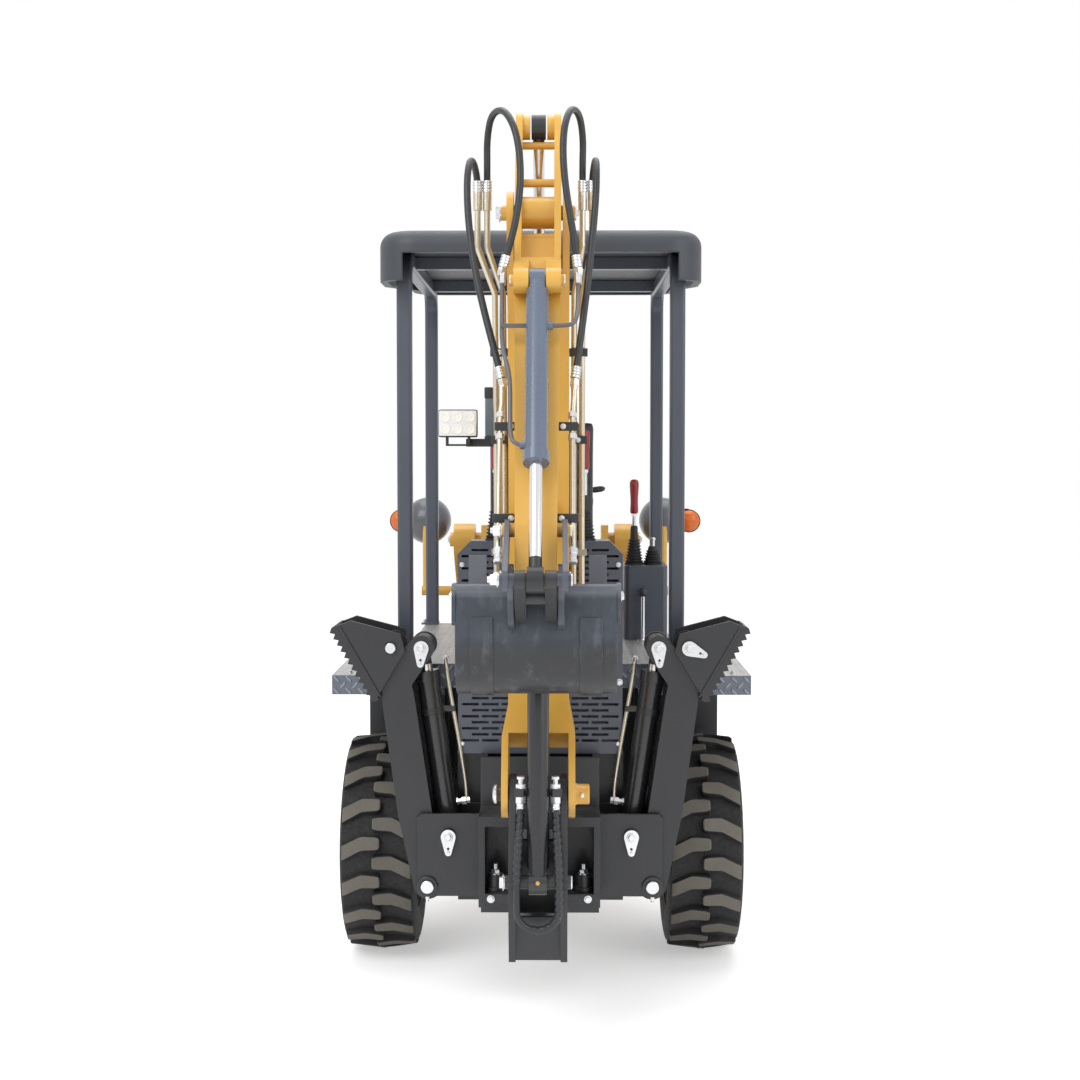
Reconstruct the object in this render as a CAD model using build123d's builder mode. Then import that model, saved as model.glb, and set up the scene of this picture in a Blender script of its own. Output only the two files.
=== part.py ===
"""Compact articulated backhoe loader with a four-post canopy, built part by part.

Millimetres. X is the machine's right, Y points forward, Z up, and the ground is Z = 0.
"""
import os
from collections import namedtuple
from math import cos, radians, sin, tan

from build123d import *

os.makedirs("parts", exist_ok=True)

# Wheels and axles
REAR_AXLE_Y = -479.0
WHEELBASE = 1750.0
HALF_TRACK = 568.0
TYRE_R = 387.0
TYRE_W = 264.0
TREAD_W = 244.0
RIM_R = 210.0
RIM_W = 200.0
RIM_WALL = 14.0
DISC_T = 14.0
HUB_R = 84.0
PILOT_R = 58.0
AXLE_R = 58.0
RUN_GAP = 0.5
PIN_GAP = 0.3

# Deck, fenders and canopy
FLOOR_Z = 1100.0
FLOOR_T = 12.0
DECK_HALF_W = 476.0
DECK_REAR = -590.0
DECK_FRONT = 756.0
FENDER_HALF_W = 715.0
FENDER_TOP_Z = 1032.0
FENDER_LIP = 66.0
FENDER_T = 8.0
FENDER_REAR = -362.0
FENDER_FRONT = 470.0
POST_SIZE = 50.0
POST_INSET = 1.0
POST_HALF = DECK_HALF_W - POST_INSET - POST_SIZE / 2
POST_REAR = -500.0
POST_FRONT = 731.0
RAIL_TOP_Z = 2455.0
RAIL_BEND_R = 110.0
ROOF_TOP_Z = 2505.0
ROOF_SKIRT_Z = 2345.0
ROOF_LIP_Z = 2432.0
ROOF_HALF_W = 523.0
ROOF_REAR = -676.0
ROOF_FRONT = 900.0
ROOF_CORNER_R = 120.0
ROOF_EDGE_R = 48.0
ROOF_WALL = 26.0

# Control tower, consoles and seat
TOWER_HALF_W = 264.0
TOWER_REAR = -720.0
TOWER_FRONT = -602.0
TOWER_BOTTOM_Z = 826.0
TOWER_TOP_Z = 1510.0
TOWER_CORNER = 42.0
SLOTS = 8
SLOT_LEN = 54.0
SLOT_HIGH = 8.0
SLOT_PITCH = 64.0
SLOT_ROW = 19.5
SLOT_ZONES = [(868.0, 8), (1344.0, 8)]
LEVER_X = 143.0
LEVER_TOP_Z = 1865.0
GRIP_LEN = 128.0
GRIP_R = 17.0
BOOT_R = 34.0
BOOT_H = 145.0
CONSOLE_IN = 302.0
CONSOLE_OUT = 462.0
CONSOLE_REAR = 150.0
CONSOLE_FRONT = 420.0
CONSOLE_TOP_Z = 1372.0
SEAT_Y = -20.0
SEAT_W = 410.0
SEAT_Z = 1430.0

# Chassis
RAIL_IN = 210.0
RAIL_OUT = 270.0
RAIL_BOTTOM_Z = 450.0
RAIL_HIGH = 140.0
CHASSIS_REAR = -620.0
CHASSIS_FRONT = 700.0
JOINT_Y = WHEELBASE / 2
JOINT_PIN_R = 32.0
JOINT_LUG_R = 76.0
LUG_T = 30.0
LUG_GAP = 5.0
LOW_LUG_Z = 380.0
TOP_LUG_Z = 560.0

# Loader: points as (ahead of the rear axle, height)
ARM_PIVOT = (1130.0, 1420.0)
ARM_KNEE = (1560.0, 1120.0)
ARM_ELBOW = (2000.0, 700.0)
BUCKET_PIN = (2240.0, 200.0)
TILT_BASE = (1480.0, 1000.0)
TILT_EYE = (2190.0, 475.0)
LIFT_BASE = (1100.0, 430.0)
LIFT_EYE = (1400.0, 1090.0)
LIFT_DRIFT = (-44.0, 57.0)
ARM_IN = 295.0
ARM_OUT = 385.0
TILT_X = 225.0
TOWER_PLATE_IN = 238.0
TOWER_PLATE_OUT = 268.0
BUCKET_HALF_W = 715.0
BUCKET_BACK = 2325.0
BUCKET_LIP = 2885.0
BUCKET_LOW_Z = 40.0
BUCKET_HIGH_Z = 690.0
BUCKET_WALL = 14.0

# Backhoe: points as (ahead of the rear axle, height)
SWING_Y = -1080.0
BOOM_FOOT = (-1200.0, 790.0)
BOOM_RAM_BASE = (-1330.0, 560.0)
BOOM_RAM_EYE = (-1152.0, 1600.0)
BOOM_KNEE = (-1000.0, 1600.0)
STICK_PIVOT = (-1230.0, 2480.0)
STICK_RAM_BASE = (-850.0, 1560.0)
STICK_RAM_EYE = (-1110.0, 2745.0)
HOE_PIN = (-1755.0, 1468.0)
ROCKER_PIN = (-1706.0, 1588.0)
LINK_PIN = (-1895.0, 1473.0)
EAR_PIN = (-1710.0, 1370.0)
HOE_RAM_BASE = (-1438.0, 2268.0)
STICK_BEND = (-1322.0, 2250.0)
POST_HALF_W = 85.0
POST_PLATE = 20.0
BOOM_HALF_W = 90.0
BOOM_FOOT_HALF_W = 108.0
STICK_TOP_HALF_W = 66.0
STICK_TIP_HALF_W = 53.0
STICK_GAP = 92.0
HOE_HALF_W = 216.0
HOE_WALL = 12.0
HOE_PIN_R = 17.0
LOOP_TOP_Z = 800.0
BIG_PIN_R = 22.0

# Stabilisers: points as (out from the centre, height)
STAB_Y = -725.0
LEG_PIVOT = (356.0, 419.0)
LEG_RAM_BASE = (289.0, 580.0)
LEG_RAM_EYE = (375.0, 1174.0)
FOOT_PIN = (470.0, 1177.0)
LEG_DEEP = 150.0
LEG_PLATE = 16.0
CHEEK_PLATE = 16.0
FOOT_PLATE = 12.0
STAB_GAP = 5.0
FRAME_SIDE = 188.0

# Hydraulic rams
Ram = namedtuple("Ram", "barrel_r rod_r barrel_len eye_r eye_w pin_r rod_inside")
LIFT_RAM = Ram(40, 22, 590, 42, 40, 22, 532)
TILT_RAM = Ram(36, 20, 640, 38, 42, 18, 485)
BOOM_RAM = Ram(32, 18, 580, 36, 52, 20, 80)
STICK_RAM = Ram(34, 17, 640, 36, 42, 20, 80)
HOE_RAM = Ram(31, 17, 580, 33, 42, 17, 80)
LEG_RAM = Ram(36, 20, 520, 38, 70, 18, 365)
RAM_END = 12.0
RAM_GLAND = 34.0

# Tow eyes
TOW_HOLE_R = 16.0
TOW_T = 24.0
TOW_FRONT = 1975.0
TOW_FRONT_Z = 470.0
TOW_REAR = -840.0
TOW_REAR_Z = 345.0

SIDES = (-1, 1)


def ry(ahead):
    """Y of something that lies this far ahead of the rear axle."""
    return REAR_AXLE_Y + ahead


def at(point):
    """A (ahead of the rear axle, height) point as (Y, Z)."""
    return (ry(point[0]), point[1])


def box(x_span, y_span, z_span, mode=Mode.ADD):
    """A plain block between two values on each axis."""
    spans = [sorted(span) for span in (x_span, y_span, z_span)]
    with Locations(tuple(sum(span) / 2 for span in spans)):
        Box(*[high - low for low, high in spans], mode=mode)


def pin(point, radius, x_span, mode=Mode.ADD):
    """A round bar along X through a (ahead, height) point."""
    y, z = at(point)
    low, high = sorted(x_span)
    with Locations(Location(((low + high) / 2, y, z), (0, 90, 0))):
        Cylinder(radius, high - low, mode=mode)


def upright(x, y, radius, z_span, mode=Mode.ADD):
    """A round bar along Z."""
    low, high = sorted(z_span)
    with Locations((x, y, (low + high) / 2)):
        Cylinder(radius, high - low, mode=mode)


def hull_pairs(circles):
    """Rounded outline around each pair of neighbouring circles."""
    for pair in zip(circles, circles[1:]):
        make_hull([Edge.make_circle(r, Plane((a, b, 0))) for a, b, r in pair])


def side_bar(circles, x_span, mode=Mode.ADD):
    """A bar seen from the side, through (ahead, height, radius) circles."""
    low, high = sorted(x_span)
    with BuildSketch(Plane.YZ.offset(low)) as outline:
        hull_pairs([(ry(y), z, r) for y, z, r in circles])
    extrude(outline.sketch, amount=high - low, mode=mode)


def side_plate(points, x_span, mode=Mode.ADD):
    """A plate seen from the side, with (ahead, height) corners."""
    low, high = sorted(x_span)
    with BuildSketch(Plane.YZ.offset(low)) as outline:
        Polygon(*[at(point) for point in points], align=None)
    extrude(outline.sketch, amount=high - low, mode=mode)


def rear_bar(circles, y_span, mode=Mode.ADD):
    """A bar seen from behind, through (x, height, radius) circles."""
    low, high = sorted(y_span)
    with BuildSketch(Plane.XZ.offset(-high)) as outline:
        hull_pairs(circles)
    extrude(outline.sketch, amount=high - low, mode=mode)


def rear_plate(points, y_span, mode=Mode.ADD):
    """A plate seen from behind, with (x, height) corners."""
    low, high = sorted(y_span)
    with BuildSketch(Plane.XZ.offset(-high)) as outline:
        Polygon(*points, align=None)
    extrude(outline.sketch, amount=high - low, mode=mode)


def ram_place(base, eye, pin_dir):
    """The place of a ram: its base pin, with Z towards the rod's eye."""
    return Plane(origin=base, x_dir=pin_dir, z_dir=Vector(*eye) - Vector(*base)).location


def ram_barrel(base, eye, pin_dir, ram):
    """Barrel with a base eye, a gland and a bore for the rod."""
    bore = ram.rod_r + RUN_GAP
    depth = ram.barrel_len - ram.eye_r - RAM_END
    with Locations(ram_place(base, eye, pin_dir)):
        Cylinder(ram.barrel_r, ram.barrel_len, align=(Align.CENTER, Align.CENTER, Align.MIN))
        Cylinder(ram.eye_r, ram.eye_w, rotation=(0, 90, 0))
        with Locations((0, 0, ram.barrel_len - RAM_GLAND)):
            Cylinder(ram.barrel_r + 4, RAM_GLAND, align=(Align.CENTER, Align.CENTER, Align.MIN))
        box_w = 2 * ram.barrel_r + 2
        for side in SIDES:
            with Locations((side * (ram.eye_w / 2 + box_w / 2), 0, 0)):
                Box(box_w, box_w, 2 * ram.eye_r + 8, mode=Mode.SUBTRACT)
        with Locations((0, 0, ram.barrel_len - depth)):
            Cylinder(bore, depth, align=(Align.CENTER, Align.CENTER, Align.MIN), mode=Mode.SUBTRACT)
        Cylinder(ram.pin_r + PIN_GAP, ram.eye_w + 2, rotation=(0, 90, 0), mode=Mode.SUBTRACT)


def ram_rod(base, eye, pin_dir, ram):
    """Rod with its eye, and enough of it inside the barrel for its travel."""
    full = (Vector(*eye) - Vector(*base)).length
    start = ram.barrel_len - ram.rod_inside
    with Locations(ram_place(base, eye, pin_dir)):
        with Locations((0, 0, start)):
            Cylinder(ram.rod_r, full - start, align=(Align.CENTER, Align.CENTER, Align.MIN))
        with Locations((0, 0, full)):
            Cylinder(ram.eye_r, ram.eye_w, rotation=(0, 90, 0))
            Cylinder(ram.pin_r, ram.eye_w + 2, rotation=(0, 90, 0), mode=Mode.SUBTRACT)


def side_point(x, point):
    """A (ahead, height) point at a given X, as (X, Y, Z)."""
    return (x, *at(point))


def tow_eye(ahead, root, low_z):
    """A flat plate with a hole for a shackle, out from its root."""
    with BuildSketch(Plane.XY.offset(low_z)) as outline:
        make_hull([Edge.make_circle(40, Plane((0, ry(ahead), 0))),
                   Edge.make_circle(20, Plane((-60, ry(root), 0))), Edge.make_circle(20, Plane((60, ry(root), 0)))])
    extrude(outline.sketch, amount=TOW_T)
    upright(0, ry(ahead), TOW_HOLE_R, (low_z - 1, low_z + TOW_T + 1), Mode.SUBTRACT)


def save(builder, name):
    """Label a finished piece and write its STEP file."""
    builder.part.label = name
    export_step(builder.part, f"parts/{name}.step")


# Tyre: a faceted carcass with two staggered rows of bent bars, made once
LUGS = 18
LUG_DEEP = 52.0
LUG_LEAN = 6.5
TREAD_BASE = TYRE_R - 30
LUG_TABLE = [  # out from the tyre's middle, shift round the tread, half width
    (-12.0, 0.0, 19.0),
    (52.0, 0.0, 22.5),
    (119.0, -36.0, 24.5),
]
BORE_R = (RIM_R + PIN_GAP) / cos(radians(90 / LUGS))
CARCASS = [  # along the axle, radius of the facets' corners
    (RIM_W / 2 - 4, BORE_R),
    (TYRE_W / 2, RIM_R + 86),
    (TREAD_W / 2, TREAD_BASE),
]


def tyre_corner(step, along, radius):
    """A corner of the tyre's facets, step by step round the axle."""
    turn = radians(180 / LUGS * (step - 0.5))
    return (along, radius * sin(turn), radius * cos(turn))


with BuildPart() as tyre_form:
    section = [(-along, radius) for along, radius in CARCASS] + CARCASS[::-1]
    facets = []
    for step in range(2 * LUGS):
        for first, second in zip(section, section[1:] + section[:1]):
            corners = [tyre_corner(step, *first), tyre_corner(step, *second),
                       tyre_corner(step + 1, *second), tyre_corner(step + 1, *first)]
            facets.append(Face(Wire.make_polygon(corners)))
    add(Solid(Shell(facets)))
    lean = radians(LUG_LEAN)
    for row in SIDES:
        for lug in range(LUGS):
            turn = radians(360 / LUGS * (lug + (0.5 if row > 0 else 0.0)))
            out = Vector(0, sin(turn), cos(turn))
            face = Plane(origin=out * (TYRE_R + LUG_TABLE[0][0] * tan(lean)), x_dir=(0, cos(turn), -sin(turn)),
                         z_dir=out * cos(lean) + Vector(row * sin(lean), 0, 0))
            near = [(shift - wide, -row * reach / cos(lean)) for reach, shift, wide in LUG_TABLE]
            far = [(shift + wide, -row * reach / cos(lean)) for reach, shift, wide in LUG_TABLE]
            with BuildSketch(face):
                with BuildLine():
                    Polyline(*near, *far[::-1], close=True)
                make_face()
    extrude(amount=-LUG_DEEP)

# Tyres and rims, one of each per corner
AXLE_Y = {"rear": ry(0), "front": ry(WHEELBASE)}
for axle, axle_y in AXLE_Y.items():
    for side, side_name in ((-1, "left"), (1, "right")):
        with BuildPart() as tyre:
            add(tyre_form.part.moved(Location((side * HALF_TRACK, axle_y, TYRE_R))))
        save(tyre, f"{axle}_{side_name}_tyre")
        with BuildPart() as rim:
            with Locations(Location((side * HALF_TRACK, axle_y, TYRE_R), (0, 90, 0))):
                Cylinder(RIM_R, RIM_W)
                Cylinder(RIM_R - RIM_WALL, RIM_W, mode=Mode.SUBTRACT)
                Cylinder(RIM_R - RIM_WALL + 1, DISC_T)
                Cylinder(PILOT_R + PIN_GAP, DISC_T, mode=Mode.SUBTRACT)
        save(rim, f"{axle}_{side_name}_rim")

# Axles: a tube with a drop-box in the middle, pads under the rails and a pilot in each wheel
for axle, axle_y in AXLE_Y.items():
    with BuildPart() as axle_body:
        hub_face = HALF_TRACK - DISC_T / 2 - RUN_GAP
        with Locations(Location((0, axle_y, TYRE_R), (0, 90, 0))):
            Cylinder(AXLE_R, 2 * hub_face)
            Cylinder(118, 190)
            for side in SIDES:
                with Locations((0, 0, side * (hub_face - 60))):
                    Cylinder(HUB_R, 120)
                with Locations((0, 0, side * (hub_face + 24))):
                    Cylinder(PILOT_R, 60)
        pad_x = (RAIL_IN + RAIL_OUT) / 2
        for side in SIDES:
            box((side * pad_x - 34, side * pad_x + 34), (axle_y - 52, axle_y + 52), (TYRE_R, RAIL_BOTTOM_Z))
    save(axle_body, f"{axle}_axle")

# Rear chassis: two rails, cross members, and the lugs and pin of the steering joint
RAIL_TOP = RAIL_BOTTOM_Z + RAIL_HIGH
with BuildPart() as rear_chassis:
    for side in SIDES:
        box((side * RAIL_IN, side * RAIL_OUT), (ry(CHASSIS_REAR), ry(CHASSIS_FRONT)), (RAIL_BOTTOM_Z, RAIL_TOP))
    for ahead in (CHASSIS_REAR + 40, -330, CHASSIS_FRONT - 40):
        box((-RAIL_IN, RAIL_IN), (ry(ahead - 40), ry(ahead + 40)), (RAIL_BOTTOM_Z, RAIL_TOP))
    for low in (LOW_LUG_Z, TOP_LUG_Z):
        with BuildSketch(Plane.XY.offset(low)):
            make_hull([Edge.make_circle(JOINT_LUG_R, Plane((0, ry(JOINT_Y), 0))),
                       Edge.make_circle(60, Plane((-150, ry(CHASSIS_FRONT - 60), 0))),
                       Edge.make_circle(60, Plane((150, ry(CHASSIS_FRONT - 60), 0)))])
        extrude(amount=LUG_T)
    box((-RAIL_OUT, RAIL_OUT), (ry(CHASSIS_FRONT - 80), ry(CHASSIS_FRONT - 50)), (LOW_LUG_Z, RAIL_TOP))
    upright(0, ry(JOINT_Y), JOINT_PIN_R, (LOW_LUG_Z - LUG_T - LUG_GAP - 12, TOP_LUG_Z + 2 * LUG_T + LUG_GAP + 12))
save(rear_chassis, "rear_chassis")

# Engine under the deck, as one block on the rails
with BuildPart() as engine_block:
    box((-190, 190), (ry(140), ry(600)), (RAIL_TOP, 1000))
    box((-RAIL_OUT, RAIL_OUT), (ry(220), ry(280)), (RAIL_TOP, RAIL_TOP + 40))
    box((-RAIL_OUT, RAIL_OUT), (ry(480), ry(540)), (RAIL_TOP, RAIL_TOP + 40))
    with Locations(Location((0, ry(70), 790), (90, 0, 0))):
        Cylinder(150, 140)
save(engine_block, "engine_block")

# Side covers around the engine, standing on the rails under the deck
COVER_OUT = 330.0
with BuildPart() as side_covers:
    for side in SIDES:
        box((side * (COVER_OUT - 10), side * COVER_OUT), (ry(-300), ry(CHASSIS_FRONT)), (500, FLOOR_Z - FLOOR_T))
        for ahead in (-290, CHASSIS_FRONT - 20):
            box((side * RAIL_OUT, side * COVER_OUT), (ry(ahead - 6), ry(ahead + 6)), (500, FLOOR_Z - FLOOR_T))
        for low in range(640, 960, 64):
            box((side * (COVER_OUT - 20), side * (COVER_OUT + 10)), (ry(140), ry(600)), (low, low + 22), Mode.SUBTRACT)
save(side_covers, "side_covers")

# Operator's deck: one plate, with a hanging edge at the rear
with BuildPart() as operator_deck:
    box((-DECK_HALF_W, DECK_HALF_W), (ry(DECK_REAR), ry(DECK_FRONT)), (FLOOR_Z - FLOOR_T, FLOOR_Z))
    box((-DECK_HALF_W, DECK_HALF_W), (ry(DECK_REAR), ry(DECK_REAR) + 10), (FLOOR_Z - 80, FLOOR_Z))
    box((-DECK_HALF_W, DECK_HALF_W), (ry(DECK_FRONT) - 10, ry(DECK_FRONT)), (FLOOR_Z - 80, FLOOR_Z))
save(operator_deck, "operator_deck")

# Rear fenders: a flat top with a lip all round, and a skirt ahead of each tyre
with BuildPart() as rear_fenders:
    for side in SIDES:
        outer = side * FENDER_HALF_W
        inner = side * COVER_OUT
        y_span = (ry(FENDER_REAR), ry(FENDER_FRONT))
        top = (FENDER_TOP_Z - FENDER_T, FENDER_TOP_Z)
        lip = (FENDER_TOP_Z - FENDER_LIP, FENDER_TOP_Z)
        box((inner, outer), y_span, top)
        box((outer, outer - side * FENDER_T), y_span, lip)
        for edge, inward in ((FENDER_REAR, FENDER_T), (FENDER_FRONT, -FENDER_T)):
            box((inner, outer), (ry(edge), ry(edge + inward)), lip)
        box((inner, side * (COVER_OUT + FENDER_T)), y_span, (560, FENDER_TOP_Z))
        side_plate([(FENDER_FRONT, FENDER_TOP_Z - 30), (FENDER_FRONT - 10, FENDER_TOP_Z - 30),
                    (FENDER_FRONT - 10, 560), (FENDER_FRONT, 560)], (inner, outer - side * 40))
save(rear_fenders, "rear_fenders")

# Canopy frame: an inverted U on each side and two cross rails
with BuildPart() as canopy_posts:
    for side in SIDES:
        low_x = side * POST_HALF - POST_SIZE / 2
        with BuildSketch(Plane.YZ.offset(low_x)):
            rear, front = ry(POST_REAR), ry(POST_FRONT)
            grow = POST_SIZE / 2
            with BuildLine():
                FilletPolyline((rear - grow, FLOOR_Z), (rear - grow, RAIL_TOP_Z), (front + grow, RAIL_TOP_Z),
                               (front + grow, FLOOR_Z), radius=RAIL_BEND_R)
                Line((front + grow, FLOOR_Z), (front - grow, FLOOR_Z))
                FilletPolyline((front - grow, FLOOR_Z), (front - grow, RAIL_TOP_Z - POST_SIZE),
                               (rear + grow, RAIL_TOP_Z - POST_SIZE), (rear + grow, FLOOR_Z),
                               radius=RAIL_BEND_R - POST_SIZE)
                Line((rear + grow, FLOOR_Z), (rear - grow, FLOOR_Z))
            make_face()
        extrude(amount=POST_SIZE)
    fillet(canopy_posts.edges().filter_by(Axis.Z), 10)
    for ahead in (POST_REAR + 200, POST_FRONT - 200):
        box((-POST_HALF, POST_HALF), (ry(ahead - 20), ry(ahead + 20)), (RAIL_TOP_Z - 42, RAIL_TOP_Z - 2))
save(canopy_posts, "canopy_posts")

# Canopy roof: a hollow moulding, its side skirts lower than its front and rear lips
with BuildPart() as canopy_roof:
    roof_mid = ry((ROOF_REAR + ROOF_FRONT) / 2)
    roof_len = ROOF_FRONT - ROOF_REAR
    with BuildSketch(Plane.XY.offset(ROOF_SKIRT_Z)):
        with Locations((0, roof_mid)):
            RectangleRounded(2 * ROOF_HALF_W, roof_len, ROOF_CORNER_R)
    extrude(amount=ROOF_TOP_Z - ROOF_SKIRT_Z)
    fillet(canopy_roof.faces().sort_by(Axis.Z)[-1].edges(), ROOF_EDGE_R)
    with BuildSketch(Plane.XY.offset(ROOF_SKIRT_Z)):
        with Locations((0, roof_mid)):
            RectangleRounded(2 * (ROOF_HALF_W - ROOF_WALL), roof_len - 2 * ROOF_WALL, ROOF_CORNER_R - ROOF_WALL)
    extrude(amount=RAIL_TOP_Z - ROOF_SKIRT_Z, mode=Mode.SUBTRACT)
    lip_half = ROOF_HALF_W - ROOF_CORNER_R + 40
    box((-lip_half, lip_half), (ry(ROOF_REAR) - 10, ry(ROOF_FRONT) + 10), (ROOF_SKIRT_Z - 1, ROOF_LIP_Z), Mode.SUBTRACT)
    side_plate([(ROOF_REAR + 260, ROOF_SKIRT_Z - 1), (ROOF_FRONT + 10, ROOF_SKIRT_Z - 1),
                (ROOF_FRONT + 10, ROOF_LIP_Z), (ROOF_FRONT - 200, ROOF_LIP_Z)],
               (-ROOF_HALF_W - 1, ROOF_HALF_W + 1), Mode.SUBTRACT)
save(canopy_roof, "canopy_roof")

# Control tower behind the seat, a hollow box open underneath
with BuildPart() as control_tower:
    corner = TOWER_CORNER
    outline = [(-TOWER_HALF_W, TOWER_BOTTOM_Z), (TOWER_HALF_W, TOWER_BOTTOM_Z),
               (TOWER_HALF_W, TOWER_TOP_Z - corner), (TOWER_HALF_W - corner, TOWER_TOP_Z),
               (corner - TOWER_HALF_W, TOWER_TOP_Z), (-TOWER_HALF_W, TOWER_TOP_Z - corner)]
    rear_plate(outline, (ry(TOWER_REAR), ry(TOWER_FRONT)))
    wall = 5
    inner = [(x * (1 - wall / TOWER_HALF_W), z - (wall if z > TOWER_BOTTOM_Z else 1)) for x, z in outline]
    rear_plate(inner, (ry(TOWER_REAR) + wall, ry(TOWER_FRONT) - wall), Mode.SUBTRACT)
    for side in SIDES:
        box((side * 200, side * 240), (ry(TOWER_FRONT) - 1, ry(DECK_REAR)), (FLOOR_Z - 60, FLOOR_Z - 20))
    spots = []
    for low, rows in SLOT_ZONES:
        for row in range(rows):
            first = -SLOT_PITCH * (SLOTS - 1 - row % 2) / 2
            z = low + SLOT_ROW * row
            spots += [(first + SLOT_PITCH * slot, ry(TOWER_REAR), z) for slot in range(SLOTS - row % 2)]
    with Locations(*spots):
        Box(SLOT_LEN, 4 * wall, SLOT_HIGH, mode=Mode.SUBTRACT)
save(control_tower, "control_tower")

# Levers: bellows and rods in one piece, red grips in another
Lever = namedtuple("Lever", "x ahead base_z top_z grip")
LEVERS = [
    Lever(-LEVER_X, -655, TOWER_TOP_Z, LEVER_TOP_Z, GRIP_LEN),
    Lever(LEVER_X, -655, TOWER_TOP_Z, LEVER_TOP_Z, GRIP_LEN),
    Lever(CONSOLE_IN + 40, 260, CONSOLE_TOP_Z, 1690, GRIP_LEN),
]
with BuildPart() as lever_boots:
    for lever in LEVERS:
        x, y = lever.x, ry(lever.ahead)
        with Locations((x, y, lever.base_z)):
            Cone(BOOT_R, 12, BOOT_H, align=(Align.CENTER, Align.CENTER, Align.MIN))
        upright(x, y, 8, (lever.base_z + BOOT_H - 5, lever.top_z - lever.grip))
    with Locations((CONSOLE_OUT - 50, ry(260), CONSOLE_TOP_Z)):
        Cone(BOOT_R, 16, 60, align=(Align.CENTER, Align.CENTER, Align.MIN))
    upright(CONSOLE_OUT - 50, ry(260), 10, (CONSOLE_TOP_Z + 55, CONSOLE_TOP_Z + 100))
save(lever_boots, "lever_boots")
with BuildPart() as lever_grips:
    for lever in LEVERS:
        with Locations((lever.x, ry(lever.ahead), lever.top_z - lever.grip)):
            Cylinder(GRIP_R, lever.grip, align=(Align.CENTER, Align.CENTER, Align.MIN))
    fillet(lever_grips.edges().filter_by(GeomType.CIRCLE), 6)
save(lever_grips, "lever_grips")

# Side console and dashboard, standing on the deck
with BuildPart() as consoles:
    box((CONSOLE_IN, CONSOLE_OUT), (ry(CONSOLE_REAR), ry(CONSOLE_FRONT)), (FLOOR_Z, CONSOLE_TOP_Z))
    fillet(consoles.edges().filter_by(Axis.Z), 18)
    side_plate([(560, FLOOR_Z), (700, FLOOR_Z), (700, 1500), (600, 1540), (520, 1480)], (-170, 170))
save(consoles, "consoles")

# Steering wheel and its column
with BuildPart() as steering_wheel:
    column = Plane(origin=(0, ry(560), 1510), x_dir=(1, 0, 0), z_dir=(0, -0.6, 0.8))
    with Locations(column.location):
        Cylinder(22, 116, align=(Align.CENTER, Align.CENTER, Align.MIN))
        with Locations((0, 0, 116)):
            Torus(178, 15)
            for turn in (90, 210, 330):
                with Locations(Location((0, 0, 0), (0, 0, turn))):
                    with Locations((89, 0, 0)):
                        Box(178, 26, 8)
save(steering_wheel, "steering_wheel")

# Seat on its pedestal
PEDESTAL_TOP_Z = SEAT_Z - 60
with BuildPart() as seat_pedestal:
    box((-120, 120), (ry(SEAT_Y - 130), ry(SEAT_Y + 130)), (FLOOR_Z, PEDESTAL_TOP_Z - 40))
    upright(0, ry(SEAT_Y), 90, (PEDESTAL_TOP_Z - 40, PEDESTAL_TOP_Z - RUN_GAP))
save(seat_pedestal, "seat_pedestal")
with BuildPart() as seat_cushion:
    box((-SEAT_W / 2, SEAT_W / 2), (ry(SEAT_Y - 180), ry(SEAT_Y + 210)), (SEAT_Z - 30, SEAT_Z + 80))
    fillet(seat_cushion.edges(), 24)
    box((-130, 130), (ry(SEAT_Y - 140), ry(SEAT_Y + 140)), (PEDESTAL_TOP_Z, SEAT_Z - 20))
    box((-60, 60), (ry(SEAT_Y - 255), ry(SEAT_Y - 100)), (SEAT_Z - 36, SEAT_Z - 20))
save(seat_cushion, "seat_cushion")
with BuildPart() as seat_back:
    side_plate([(SEAT_Y - 250, SEAT_Z - 20), (SEAT_Y - 186, SEAT_Z - 20), (SEAT_Y - 200, SEAT_Z + 480),
                (SEAT_Y - 266, SEAT_Z + 480), (SEAT_Y - 266, SEAT_Z + 60)], (-SEAT_W / 2 + 10, SEAT_W / 2 - 10))
    fillet(seat_back.edges(), 10)
save(seat_back, "seat_back")

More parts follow.
